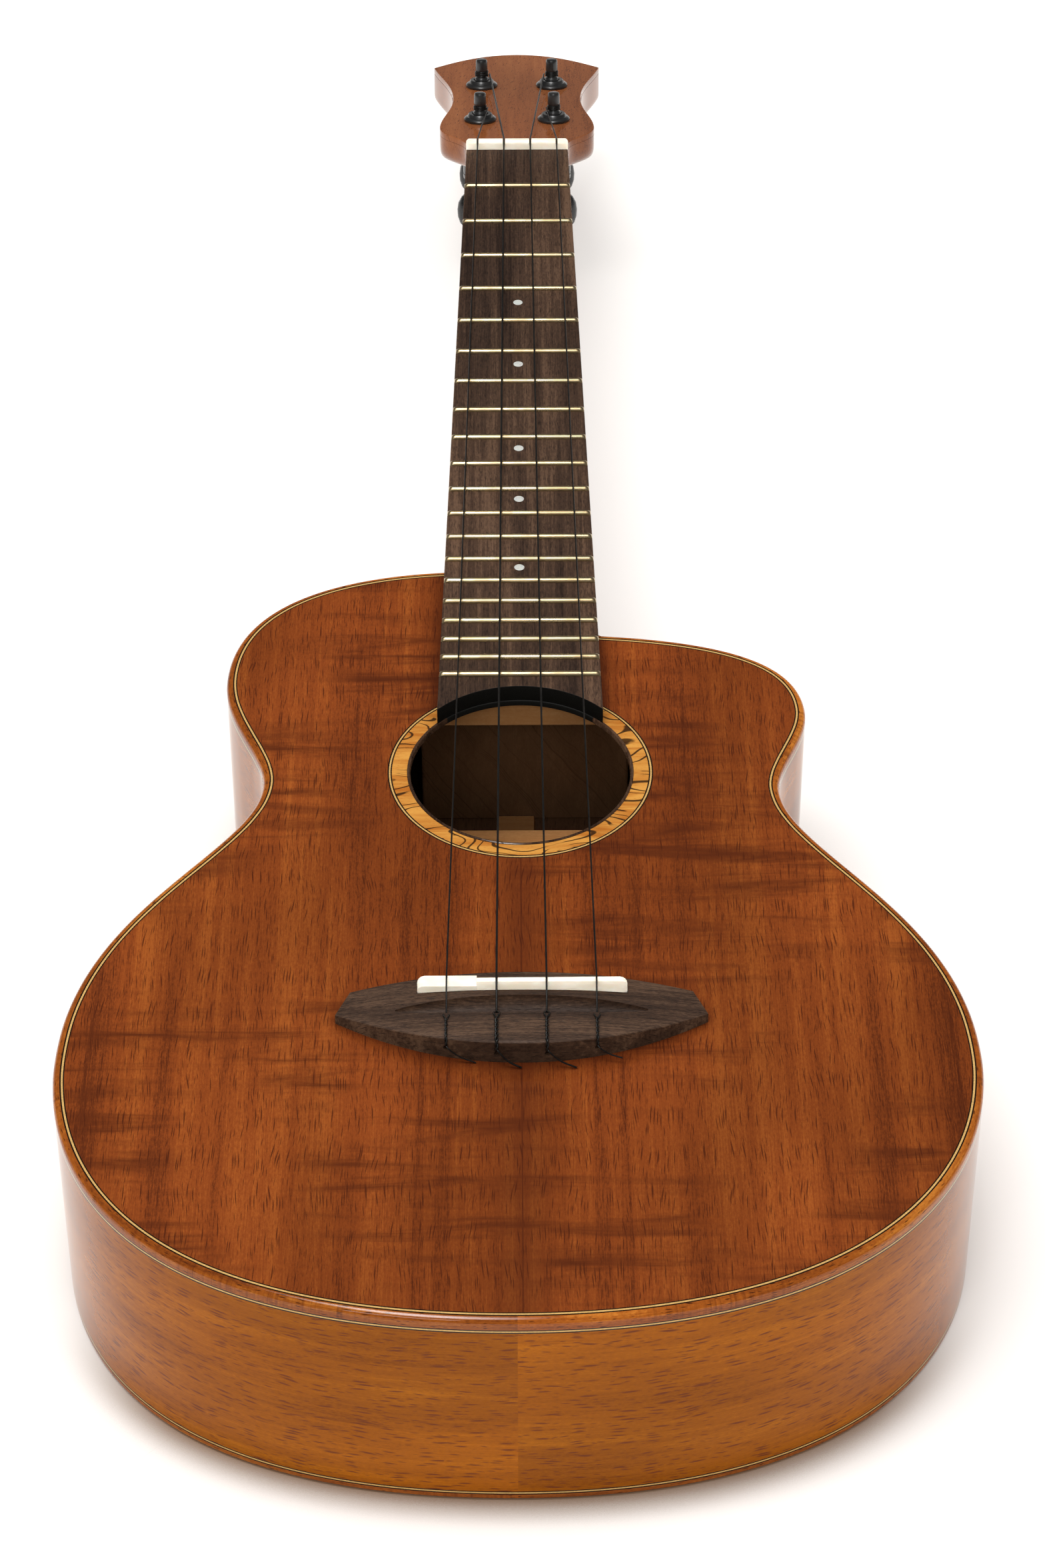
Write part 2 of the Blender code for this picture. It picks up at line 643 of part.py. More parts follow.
def make_saddle():
    """White saddle with a compensation step: the bass quarter breaks further forward."""
    rear, front = SADDLE_Y
    low, high = SADDLE_FOOT, SADDLE_TOP
    x_low, x_high = SADDLE_X
    step = -12.0
    plan = [(x_low, rear), (x_high, rear), (x_high, front), (x_low, front)]
    body = plate("saddle", [plan], low, high)
    tools = [box("set_back", (step, front - 0.7, high - 1.3), (x_high + 3, front + 2, high + 3), cutters),
             box("set_forward", (x_low - 3, rear - 2, high - 1.3), (step, rear + 0.8, high + 3), cutters)]
    body = boolean(body, [hide_cutter(tool) for tool in tools])
    paint(body, BONE, "bone")


# ---- strings ----------------------------------------------------------------------------------
POST_R = 2.6
WIND_OUT = 4.6               # height of the winding above the headstock's face


def make_strings():
    for number in range(4):
        radius = STRING_R[number]
        side = -1 if number < 2 else 1
        half_spacing, along = POST_ROWS[0] if number in (0, 3) else POST_ROWS[1]
        x_saddle, x_nut = string_x(number, PITCH_SADDLE), string_x(number, PITCH_NUT)
        x_post = side * (half_spacing - POST_R - 1.0 - radius)
        # the break behind the saddle rides just above the bone
        lift = SADDLE_TOP + GAP + radius
        path = [Vector((x_saddle, HOLE_OUT[0] + 0.9, HOLE_OUT[1] + 0.15)),
                Vector((x_saddle, HOLE_IN[0], HOLE_IN[1])),
                Vector((x_saddle, SADDLE_Y[0] - 0.35, lift)),
                Vector((x_saddle, SADDLE_Y[1] - 0.5, lift + 0.1)),
                Vector((x_nut, SCALE, STRING_NUT_Z)),
                Vector((x_nut, SCALE + NUT_LENGTH - 0.8, STRING_NUT_Z)),
                on_head(x_post, along, WIND_OUT)]
        curve = bpy.data.curves.new("string_%d" % (number + 1), "CURVE")
        curve.dimensions = "3D"
        curve.bevel_depth = radius * MM
        curve.bevel_resolution = 2
        curve.use_fill_caps = True
        spline = curve.splines.new("POLY")
        spline.points.add(len(path) - 1)
        for point, place in zip(spline.points, path):
            point.co = (*(place * MM), 1.0)
        obj = bpy.data.objects.new(curve.name, curve)
        ukulele.objects.link(obj)
        bpy.context.view_layer.update()
        paint(smooth(as_mesh(obj), 60), STRING, "plastic")


# ---- tuning pegs ------------------------------------------------------------------------------
BARREL_R = 6.2
BORE_R = 2.9
STEM_R = 2.5
BACK_FACE = -HEADPLATE - GAP - HEAD_WOOD      # underside of the headstock, from its face
BARREL_END = BACK_FACE - GAP - 8.2


def peg_places():
    """Peg name, offset across and distance along the headstock, in string order."""
    near, far = POST_ROWS
    return (("1", -near[0], near[1]), ("2", -far[0], far[1]), ("3", far[0], far[1]),
            ("4", near[0], near[1]))


def button_sections():
    """An oval knob: a round neck that swells to a flat, rounded grip. Local Z is the peg's axis."""
    # height, half-width, half-thickness
    stations = [(-0.5, 3.6, 3.6), (-2.2, 3.4, 3.4), (-4.2, 4.6, 3.5), (-6.6, 7.2, 4.1), (-9.5, 8.4, 4.5),
                (-13.0, 8.5, 4.6), (-16.2, 7.6, 4.2), (-18.4, 5.4, 3.2), (-19.4, 2.6, 1.7)]
    rings = []
    for z, half_width, half_thick in stations:
        ring = []
        for i in range(16):
            angle = math.tau * i / 16
            ring.append((half_width * math.cos(angle), half_thick * math.sin(angle), z))
        rings.append(ring)
    return rings


def make_pegs():
    middle = BACK_FACE - 4.0            # inside the barrel, where post and button stem face each other
    for name, x, along in peg_places():
        place = Matrix.Translation(on_head(x, along, 0) * MM) @ HEAD_TURN

        sleeve = [(4.4, 2.6), (5.7, 1.4), (5.7, GAP), (4.2, GAP), (4.2, BACK_FACE - GAP),
                  (BARREL_R, BACK_FACE - GAP), (BARREL_R, BARREL_END + 1.4), (5.0, BARREL_END),
                  (BORE_R, BARREL_END), (BORE_R, 2.6)]
        housing = turned("housing_" + name, sleeve, True, 20)
        paint(smooth(housing, 40), BLACK, "plastic")

        shape = [(0.0, 10.2), (1.7, 10.2), (2.1, 9.8), (2.2, 6.4), (1.9, 5.4), (1.9, 3.8), (2.5, 2.9),
                 (STEM_R, middle + GAP), (0.0, middle + GAP)]
        post = turned("post_" + name, shape, False, 16)
        paint(smooth(post, 40), BLACK, "plastic")

        grip = lofted("button_" + name, button_sections())
        grip.data.transform(Matrix.Translation((0.0, 0.0, (BARREL_END - GAP) * MM)))
        stem = rod("stem", (0, 0, middle - GAP), (0, 0, BARREL_END - 2.5), STEM_R, 16)
        grip = boolean(grip, [stem], "UNION")
        paint(smooth(grip, 40), BLACK, "plastic")

        for piece in (housing, post, grip):
            piece.matrix_world = place


clear_scene()
make_body()
make_rosette()
make_inside()
make_neck()
make_fretboard()
make_frets()
make_nut()
make_bridge()
make_saddle()
make_strings()
make_pegs()
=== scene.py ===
"""Looks of the cutaway tenor ukulele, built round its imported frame.

Lengths here are in millimetres, and each mesh is scaled to metres when it is made.
Frame: +X to the treble (cutaway) side, +Y from the saddle to the headstock, +Z out of the soundboard.
"""
import json
import math

import bmesh
import bpy
from mathutils import Matrix, Vector


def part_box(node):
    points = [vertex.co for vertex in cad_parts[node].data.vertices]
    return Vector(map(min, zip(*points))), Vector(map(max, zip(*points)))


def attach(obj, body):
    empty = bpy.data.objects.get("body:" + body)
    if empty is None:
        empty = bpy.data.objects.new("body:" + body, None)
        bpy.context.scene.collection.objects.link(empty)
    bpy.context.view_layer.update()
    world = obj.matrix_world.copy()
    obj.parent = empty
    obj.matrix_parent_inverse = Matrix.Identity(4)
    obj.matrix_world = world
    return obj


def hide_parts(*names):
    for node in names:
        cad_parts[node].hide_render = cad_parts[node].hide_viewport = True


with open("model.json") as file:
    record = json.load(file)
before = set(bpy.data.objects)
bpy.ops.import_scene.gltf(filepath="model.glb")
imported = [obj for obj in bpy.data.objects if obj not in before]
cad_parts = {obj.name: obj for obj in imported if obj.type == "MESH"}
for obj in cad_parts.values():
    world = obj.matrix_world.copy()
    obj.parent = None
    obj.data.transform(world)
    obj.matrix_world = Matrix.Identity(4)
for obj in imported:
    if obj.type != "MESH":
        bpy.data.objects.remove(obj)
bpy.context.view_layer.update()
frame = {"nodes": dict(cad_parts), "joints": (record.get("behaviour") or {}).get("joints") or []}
MM = 0.001


def box(node):
    """Lowest and highest corner of a CAD node, in millimetres."""
    low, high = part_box(node)
    return low / MM, high / MM


# ---- sizes taken from the frame ----
TOP = box("soundboard")[1].z
BACK_TOP = box("back")[1].z
BOARD_HIGH = box("fretboard")[1]
BOARD_TOP = BOARD_HIGH.z
SCALE = BOARD_HIGH.y                        # the nut's front edge; the saddle is at Y = 0
HOLE = (box("rosette")[0] + box("rosette")[1]) / 2
ROSETTE_R = box("rosette")[1].x
LINER_R = box("soundhole_ring")[1].x
HOLE_R = LINER_R - 1.0
SADDLE_LOW, SADDLE_HIGH = box("saddle")
NUT_LOW, NUT_HIGH = box("nut")
PEGS = {joint["child"][-1]: Vector(joint["pos_m"]) / MM
        for joint in frame["joints"] if joint["child"].startswith("post")}

# ---- details the frame leaves out ----
BINDING = 1.9               # width of the wooden binding on the face
BINDING_ROUND = 1.75
PURFLING = (0.4, 0.5, 0.35)         # black, cream, black
ROSETTE_LINES = (0.4, 0.45, 0.4)
SIDE_THICK = 2.0
PITCH_NUT = 9.25
PITCH_SADDLE = 13.4
STRING_R = (0.24, 0.30, 0.27, 0.24)
STRING_NUT_Z = 75.55
HEAD_TILT = math.radians(14.0)
HEAD_START = 437.4
HEAD_FACE_Z = 72.2
HEADPLATE = 2.2
HEAD_UNDER = 13.7           # underside of the headstock below its face
HEAD_END = 114.6            # length of the headstock from the nut
NUT_HALF = 17.8             # half-width of the fretboard at the nut, and under the saddle
SADDLE_HALF = 26.65
BRIDGE_FRONT = 46.1         # half-lengths of the bridge's front and rear edges
BRIDGE_REAR = 50.0
HEEL_FOOT = box("neck")[0].z


# ---- meshes ----
def lerp(a, b, t):
    return a + (b - a) * t


def smoothstep(t):
    t = min(max(t, 0.0), 1.0)
    return t * t * (3 - 2 * t)


def slice_at(x, points):
    """Points of a section across X, from their (y, z)."""
    return [Vector((x, y, z)) for y, z in points]


def finish_mesh(name, bm, sharp=35.0):
    """Scale a bmesh to metres and link it as an object with smooth shading and sharp corners."""
    bmesh.ops.recalc_face_normals(bm, faces=bm.faces)
    if bm.calc_volume(signed=True) < 0:
        bmesh.ops.reverse_faces(bm, faces=bm.faces)
    bmesh.ops.scale(bm, vec=(MM, MM, MM), verts=bm.verts)
    mesh = bpy.data.meshes.new(name)
    bm.to_mesh(mesh)
    bm.free()
    mesh.shade_smooth()
    mesh.set_sharp_from_angle(angle=math.radians(sharp))
    obj = bpy.data.objects.new(name, mesh)
    bpy.context.scene.collection.objects.link(obj)
    return obj


def skin(name, rows, grain=None, closed=False, caps=True, bands=None, sharp=35.0):
    """Skin rings of points. grain gives each vertex its place in the wood: across, along, depth.

    closed joins the last ring to the first, and bands gives each strip along the ring its material.
    """
    bm = bmesh.new()
    layer = bm.verts.layers.float_vector.new("grain") if grain else None
    rings = [[bm.verts.new(point) for point in row] for row in rows]
    if grain:
        for ring, values in zip(rings, grain):
            for vert, value in zip(ring, values):
                vert[layer] = value
    width = len(rings[0])
    pairs = list(zip(rings, rings[1:]))
    if closed:
        pairs.append((rings[-1], rings[0]))
    for here, there in pairs:
        for k in range(width):
            n = (k + 1) % width
            face = bm.faces.new((here[k], there[k], there[n], here[n]))
            face.material_index = bands[k] if bands else 0
    if caps and not closed:
        bm.faces.new(rings[0])
        bm.faces.new(reversed(rings[-1]))
    return finish_mesh(name, bm, sharp)


def lathe(name, profile, steps=64, place=None, bands=None, sharp=35.0):
    """Turn a closed (radius, height) profile about Z, then put it in place."""
    rows = []
    for i in range(steps):
        c, s = math.cos(math.tau * i / steps), math.sin(math.tau * i / steps)
        rows.append([Vector((r * c, r * s, z)) for r, z in profile])
    if place is not None:
        rows = [[place @ point for point in row] for row in rows]
    obj = skin(name, rows, closed=True, bands=bands, sharp=sharp)
    weld(obj)
    return obj


def weld(obj):
    """Merge the points that meet on an axis, and drop the faces that vanish there."""
    bm = bmesh.new()
    bm.from_mesh(obj.data)
    bmesh.ops.remove_doubles(bm, verts=bm.verts, dist=1e-7)
    bmesh.ops.dissolve_degenerate(bm, dist=1e-7, edges=bm.edges)
    bmesh.ops.recalc_face_normals(bm, faces=bm.faces)
    bm.to_mesh(obj.data)
    bm.free()


def evaluated(obj):
    """A new mesh of an object with its modifiers, or its curve's bevel, applied."""
    return bpy.data.meshes.new_from_object(obj.evaluated_get(bpy.context.evaluated_depsgraph_get()))


def plate(name, loops, low, high, bevel=0.0, place=None):
    """A flat piece between two heights from closed plan loops, its edges rounded by bevel."""
    curve = bpy.data.curves.new(name, "CURVE")
    curve.dimensions = "2D"
    curve.fill_mode = "BOTH"
    curve.extrude = ((high - low) / 2 - bevel) * MM
    curve.bevel_depth = bevel * MM
    curve.bevel_resolution = 3
    curve.offset = -bevel * MM
    for loop in loops:
        spline = curve.splines.new("POLY")
        spline.points.add(len(loop) - 1)
        for point, at in zip(spline.points, loop):
            point.co = (at[0] * MM, at[1] * MM, 0.0, 1.0)
        spline.use_cyclic_u = True
    source = bpy.data.objects.new(name + "_curve", curve)
    source.location.z = (high + low) / 2 * MM
    bpy.context.scene.collection.objects.link(source)
    bpy.context.view_layer.update()
    mesh = evaluated(source)
    mesh.transform(source.matrix_world)
    bpy.data.objects.remove(source)
    bm = bmesh.new()
    bm.from_mesh(mesh)
    bmesh.ops.remove_doubles(bm, verts=bm.verts, dist=2e-6)
    bmesh.ops.scale(bm, vec=(1 / MM,) * 3, verts=bm.verts)
    if place is not None:
        bmesh.ops.transform(bm, matrix=place, verts=bm.verts)
    for face in bm.faces:
        face.material_index = 0
    obj = finish_mesh(name, bm, 30.0)
    axis = place.col[2].to_3d() if place is not None else Vector((0, 0, 1))
    for polygon in obj.data.polygons:
        polygon.use_smooth = abs(polygon.normal.dot(axis)) < 0.999
    return obj


def cut(obj, tools, operation="DIFFERENCE"):
    """Apply exact booleans, then take the tools away."""
    for tool in tools:
        modifier = obj.modifiers.new(operation, "BOOLEAN")
        modifier.operation = operation
        modifier.solver = "EXACT"
        modifier.object = tool
    bpy.context.view_layer.update()
    mesh = evaluated(obj)
    obj.modifiers.clear()
    obj.data = mesh
    mesh.name = obj.name
    for tool in tools:
        bpy.data.objects.remove(tool)
    mesh.shade_smooth()
    mesh.set_sharp_from_angle(angle=math.radians(30.0))
    return obj


def frames_along(path):
    """Tangent and two normals at each point, carried along without twisting."""
    frames = []
    side = None
    for i, point in enumerate(path):
        ahead = path[min(i + 1, len(path) - 1)] - path[max(i - 1, 0)]
        ahead.normalize()
        if side is None:
            side = ahead.cross(Vector((0.31, 0.17, 0.93)))
        side = side - ahead * side.dot(ahead)
        side.normalize()
        frames.append((point, ahead, side, ahead.cross(side)))
    return frames


def tube(name, path, radius, steps=12):
    rows = []
    for point, _, side, up in frames_along(path):
        ring = []
        for k in range(steps):
            angle = math.tau * k / steps
            ring.append(point + radius * (side * math.cos(angle) + up * math.sin(angle)))
        rows.append(ring)
    return skin(name, rows, sharp=60.0)


# ---- curves ----
def hermite(p0, p1, p2, p3, t):
    """Centripetal Catmull-Rom from p1 to p2."""
    a = max((p1 - p0).length, 1e-6) ** 0.5
    b = max((p2 - p1).length, 1e-6) ** 0.5
    c = max((p3 - p2).length, 1e-6) ** 0.5
    m1 = b * ((p1 - p0) / a - (p2 - p0) / (a + b) + (p2 - p1) / b)
    m2 = b * ((p2 - p1) / b - (p3 - p1) / (b + c) + (p3 - p2) / c)
    t2, t3 = t * t, t * t * t
    return (2 * t3 - 3 * t2 + 1) * p1 + (t3 - 2 * t2 + t) * m1 + (3 * t2 - 2 * t3) * p2 + (t3 - t2) * m2


def turn_at(before, point, after):
    return math.degrees((point - before).angle(after - point, 0.0))


def smooth_loop(points, step, corner=25.0):
    """Resample a closed loop through its points, and keep the corners sharper than a limit."""
    count = len(points)
    sharp = [turn_at(points[i - 1], points[i], points[(i + 1) % count]) > corner for i in range(count)]
    out = []
    for i in range(count):
        j = (i + 1) % count
        p1, p2 = points[i], points[j]
        p0 = 2 * p1 - p2 if sharp[i] else points[i - 1]
        p3 = 2 * p2 - p1 if sharp[j] else points[(i + 2) % count]
        pieces = max(1, round((p2 - p1).length / step))
        out += [hermite(p0, p1, p2, p3, k / pieces) for k in range(pieces)]
    return out


def smooth_path(points, step):
    """Resample an open path through its points."""
    points = [Vector(point) for point in points]
    ends = [2 * points[0] - points[1]] + points + [2 * points[-1] - points[-2]]
    out = []
    for p0, p1, p2, p3 in zip(ends, ends[1:], ends[2:], ends[3:]):
        pieces = max(2, round((p2 - p1).length / step))
        out += [hermite(p0, p1, p2, p3, k / pieces) for k in range(pieces)]
    return out + [points[-1]]


def bezier(start, start_handle, end_handle, end, count):
    """Points along a plane cubic, with its start and without its end."""
    points = []
    for i in range(count):
        t = i / count
        weights = ((1 - t) ** 3, 3 * (1 - t) ** 2 * t, 3 * (1 - t) * t * t, t ** 3)
        knots = (start, start_handle, end_handle, end)
        points.append(tuple(sum(w * k[axis] for w, k in zip(weights, knots)) for axis in (0, 1)))
    return points


def circle(centre, radius, count):
    angles = [math.tau * i / count for i in range(count)]
    return [(centre[0] + radius * math.cos(a), centre[1] + radius * math.sin(a)) for a in angles]


def inset(loop, distance):
    """Move a closed anticlockwise loop inwards, mitred at its corners."""
    moved = []
    count = len(loop)
    for i, point in enumerate(loop):
        total = Vector((0.0, 0.0))
        for step in (point - loop[i - 1], loop[(i + 1) % count] - point):
            step = step.normalized()
            total += Vector((-step.y, step.x))
        moved.append(point + total * (2 * distance / total.length_squared))
    return moved


def face_loops(node, normal):
    """Boundary loops of a CAD node's flat faces that look along normal, longest first.

    The faces are taken in the mesh's own order, so that every run finds the same loops.
    """
    bm = bmesh.new()
    bm.from_mesh(frame["nodes"][node].data)
    bmesh.ops.remove_doubles(bm, verts=bm.verts, dist=1e-6)
    bm.normal_update()
    for face in bm.faces:
        face.tag = face.normal.dot(normal) > 0.999
    follow = {}
    for face in [face for face in bm.faces if face.tag]:
        for corner in face.loops:
            if not any(other.tag for other in corner.edge.link_faces if other is not face):
                follow[corner.vert] = corner.link_loop_next.vert
    loops = []
    while follow:
        vert = next(iter(follow))
        loop = []
        while vert in follow:
            loop.append(vert.co / MM)
            vert = follow.pop(vert)
        loops.append(loop)
    bm.free()
    return sorted(loops, key=lambda loop: -sum((a - b).length for a, b in zip(loop, loop[1:] + loop[:1])))


def body_outline():
    """Outer edge of the body, anticlockwise from the tail seam."""
    coarse = [point.xy for point in face_loops("binding_back", Vector((0, 0, 1)))[0]]
    tail = min(range(len(coarse)), key=lambda i: (round(coarse[i].y, 2), abs(coarse[i].x)))
    return smooth_loop(coarse[tail:] + coarse[:tail], 1.6)


OUTLINE = body_outline()


def band(name, section, bands=None, first=0, last=None):
    """Carry an (inset, height) section round the body, from one outline point to another."""
    last = len(OUTLINE) if last is None else last
    lengths = [0.0]
    for a, b in zip(OUTLINE, OUTLINE[1:] + OUTLINE[:1]):
        lengths.append(lengths[-1] + (b - a).length)
    rails = [inset(OUTLINE, depth) for depth, _ in section]
    rows, grain = [], []
    for i in range(first, last + 1):
        rows.append([rail[i % len(OUTLINE)].to_3d() + Vector((0, 0, z))
                     for rail, (_, z) in zip(rails, section)])
        grain.append([(z, lengths[i], depth) for depth, z in section])
    return skin(name, rows, grain, bands=bands, sharp=30.0)


# ---- shader nodes ----
LIGHT = 1.68                # brightness of a white surface that faces up in this scene's light
SIDE_LIGHT = 1.47           # and of one that faces sideways


def shown(red, green, blue, light=LIGHT):
    """Albedo of a surface that shows as this 8-bit display colour in this scene's light."""
    def linear(value):
        value /= 255
        return value / 12.92 if value <= 0.04045 else ((value + 0.055) / 1.055) ** 2.4
    return (linear(red) / light, linear(green) / light, linear(blue) / light, 1.0)


class Tree:
    """A material's node tree. Each method adds a node and returns its output."""

    def __init__(self, name):
        self.material = bpy.data.materials.new(name)
        self.material.use_nodes = True
        self.nodes = self.material.node_tree.nodes
        self.links = self.material.node_tree.links
        self.shader = self.nodes["Principled BSDF"]

    def wire(self, value, socket):
        if isinstance(value, bpy.types.NodeSocket):
            self.links.new(value, socket)
        else:
            socket.default_value = value

    def add(self, kind, inputs, **settings):
        """Add a node, give its inputs values or links, and return its outputs."""
        node = self.nodes.new("ShaderNode" + kind)
        for key, value in settings.items():
            setattr(node, key, value)
        for key, value in inputs.items():
            self.wire(value, node.inputs[key])
        return node.outputs

    def math(self, operation, a, b=0.0):
        return self.add("Math", {0: a, 1: b}, operation=operation)[0]

    def plus(self, a, b):
        return self.math("ADD", a, b)

    def minus(self, a, b):
        return self.math("SUBTRACT", a, b)

    def times(self, a, b):
        return self.math("MULTIPLY", a, b)

    def scaled(self, point, size):
        """The point with each axis divided by a size in millimetres."""
        return self.add("VectorMath", {0: point, 1: tuple(1 / s for s in size)}, operation="MULTIPLY")[0]

    def split(self, point):
        return self.add("SeparateXYZ", {0: point})

    def join(self, x, y, z):
        return self.add("CombineXYZ", {0: x, 1: y, 2: z})[0]

    def place(self):
        """A point of the object in millimetres."""
        return self.scaled(self.add("TexCoord", {})["Object"], (MM, MM, MM))

    def grain(self):
        """The point's place in a bent strip of wood: across, along and depth, in millimetres."""
        return self.add("Attribute", {}, attribute_name="grain")["Vector"]

    def noise(self, point, size, detail=2.0, rough=0.5, bend=0.0):
        return self.add("TexNoise", {"Vector": self.scaled(point, size), "Scale": 1.0, "Detail": detail,
                                     "Roughness": rough, "Distortion": bend})["Fac"]

    def cells(self, point, size):
        """Distance to the nearest point scattered over X and Y, and two random numbers of its cell."""
        outputs = self.add("TexVoronoi", {"Vector": self.scaled(point, size), "Scale": 1.0},
                           voronoi_dimensions="2D")
        red, green, _ = self.split(outputs["Color"])
        return outputs["Distance"], red, green

    def span(self, value, low, high, start=0.0, end=1.0):
        """Map low..high smoothly to start..end."""
        return self.add("MapRange", {"Value": value, "From Min": low, "From Max": high, "To Min": start,
                                     "To Max": end}, interpolation_type="SMOOTHSTEP")["Result"]

    def mix(self, factor, a, b, kind="MIX"):
        """Two colours mixed; the numbers are the Mix node's colour sockets."""
        return self.add("Mix", {0: factor, 6: a, 7: b}, data_type="RGBA", blend_type=kind)[2]

    def tones(self, value, a, b, low=0.3):
        """From one colour to the other as a noise goes from low to 0.7."""
        return self.mix(self.span(value, low, 0.7), a, b)

    def shaded(self, colour, shade):
        """The colour times a brightness."""
        return self.mix(1.0, colour, self.join(shade, shade, shade), "MULTIPLY")

    def around(self, x, y, spot):
        """A soft spot of a given reach, 1 in its middle and 0 outside."""
        away = self.join(self.minus(x, spot[0]), self.minus(y, spot[1]), 0.0)
        distance = self.add("VectorMath", {0: away}, operation="LENGTH")["Value"]
        return self.span(distance, spot[2] * 0.5, spot[2], 1.0, 0.0)

    def nearby(self, reach):
        """How open the surface is: 1 in the open, and less where another piece stands close."""
        return self.add("AmbientOcclusion", {"Distance": reach * MM}, samples=8)["AO"]

    def glancing(self, square_on, edge_on):
        """A value that goes from one to the other as the surface turns away from the view."""
        facing = self.add("LayerWeight", {"Blend": 0.5})["Facing"]
        return self.span(facing, 0.35, 0.85, square_on, edge_on)

    def bump(self, height, distance, strength=1.0):
        return self.add("Bump", {"Height": height, "Distance": distance * MM, "Strength": strength})["Normal"]

    def done(self, colour, roughness=0.5, normal=None, **inputs):
        self.wire(colour, self.shader.inputs["Base Color"])
        self.wire(roughness, self.shader.inputs["Roughness"])
        if normal is not None:
            self.wire(normal, self.shader.inputs["Normal"])
        for name, value in inputs.items():
            self.wire(value, self.shader.inputs[name.replace("_", " ")])
        return self.material


# ---- wood ----
def streaks(tree, point, across, along, contrast):
    """Growth bands, broad and fine, with single fibres and flecks, from 0 dark to 1 light."""
    layers = ((0.34, tree.noise(point, (across * 6, along * 1.5, across * 12), 2.0, 0.5, 0.3)),
              (0.24, tree.noise(point, (across, along, across * 4), 3.0, 0.6, 0.2)),
              (0.20, tree.noise(point, (0.35, 16.0, 2.0), 2.0, 0.6)),
              (0.22, tree.noise(point, (0.45, 1.5, 1.0), 3.0, 0.7)))
    total = 0.0
    for share, layer in layers:
        total = tree.plus(tree.times(layer, share), total)
    return tree.span(total, 0.5 - contrast, 0.5 + contrast)


def pores(tree, point, width, length, spacing, share):
    """Short dark dashes along the grain; spacing is the area of wood for each, in square mm."""
    across = math.sqrt(spacing * width / length * 1.1)
    along = spacing / across
    x, y, z = tree.split(point)
    sway = tree.noise(point, (14.0, 26.0, 14.0), 1.0)
    x = tree.plus(x, tree.times(tree.minus(sway, 0.5), 5.0))
    x = tree.plus(x, tree.times(z, 0.7))
    distance, pick, size = tree.cells(tree.join(x, y, 0.0), (across, along, 1.0))
    reach = tree.times(tree.plus(size, 0.45), length / along * 0.5)
    mark = tree.span(distance, tree.times(reach, 0.3), reach, 1.0, 0.0)
    crowd = tree.times(tree.minus(tree.noise(point, (7.0, 50.0, 20.0), 1.0), 0.5), 0.9)
    pick = tree.plus(pick, crowd)
    return tree.times(mark, tree.span(pick, 1 - share - 0.06, 1 - share + 0.06))


def wood(name, dark, mid, light, bent=False, book=False, sideways=False, across=3.0, along=170.0,
         contrast=0.2, pore=(0.28, 4.2, 8.0, 0.75), pore_colour=None, flame=0.0,
         flame_size=(55.0, 7.0), flame_at=(), seam=0.0, gloss=True, roughness=0.42, zones=0.12,
         shine=0.4, painted_shade_reach=0.0, white=LIGHT):
    """Lacquered or bare wood with growth bands, fibres, pores, cross figure and soft zones, and, given a
    reach, painted shade where other pieces stand close.

    dark, mid, light and pore_colour are display colours, in light that gives a white surface the
    brightness white. flame_at lists places, (x, y, reach), where the cross figure is strongest.
    """
    tree = Tree(name)
    pore_colour = shown(*(pore_colour or dark), white)
    dark, mid, light = (shown(*tone, white) for tone in (dark, mid, light))
    point = tree.grain() if bent else tree.place()
    x, y, z = tree.split(point)
    if sideways:
        x, y = y, x
        point = tree.join(x, y, z)
    bands = tree.join(tree.math("ABSOLUTE", x), y, z) if book else point
    tone = streaks(tree, bands, across, along, contrast)
    colour = tree.mix(tree.span(tone, 0.0, 0.5), dark, mid)
    colour = tree.mix(tree.span(tone, 0.45, 1.0), colour, light)

    zone = tree.noise(point, (42.0, 120.0, 60.0), 1.0)
    shade = tree.span(zone, 0.3, 0.7, 1 - zones, 1 + zones)
    colour = tree.shaded(colour, shade)

    if flame:
        wide, tall = flame_size
        ripple = tree.noise(point, (wide, tall, 40.0), 4.0, 0.6, 0.5)
        where = tree.span(tree.noise(point, (60.0, 75.0, 60.0), 1.0), 0.42, 0.62)
        for spot in flame_at:
            where = tree.math("MAXIMUM", where, tree.around(x, y, spot))
        mask = tree.times(tree.span(ripple, 0.42, 0.74), where)
        colour = tree.mix(tree.times(mask, flame), colour, dark)
    if seam:
        near = tree.math("ABSOLUTE", x)
        line = tree.span(near, 0.12, 0.35, 1.0, 0.0)
        wedge = tree.span(near, 0.0, 11.0, 0.5, 0.0)
        colour = tree.mix(tree.times(tree.math("MAXIMUM", line, wedge), seam), colour, dark)

    width, length, spacing, share = pore
    marks = pores(tree, point, width, length, spacing, share)
    small = pores(tree, tree.scaled(point, (1.0, -1.0, 1.0)), width * 0.7, length * 0.5, spacing * 0.7,
                  share * 0.7)
    marks = tree.math("MAXIMUM", marks, tree.times(small, 0.75))
    colour = tree.mix(tree.times(marks, 0.9), colour, pore_colour)

    # Painted shade: within the reach of another piece the wood darkens towards the pore colour, as round the
    # bridge's foot.
    if painted_shade_reach:
        deep = tree.span(tree.nearby(painted_shade_reach), 0.35, 1.0, 0.75, 0.0)
        colour = tree.mix(deep, colour, pore_colour)
    dull = tree.span(tone, 0.0, 1.0, roughness + 0.08, roughness - 0.06)
    if gloss:
        return tree.done(colour, dull, Coat_Weight=tree.glancing(shine, 0.9), Coat_Roughness=0.035,
                         Coat_IOR=1.5, Specular_IOR_Level=0.0)
    height = tree.minus(tone, marks)
    return tree.done(colour, dull, tree.bump(height, 0.06, 0.6), Specular_IOR_Level=0.12)
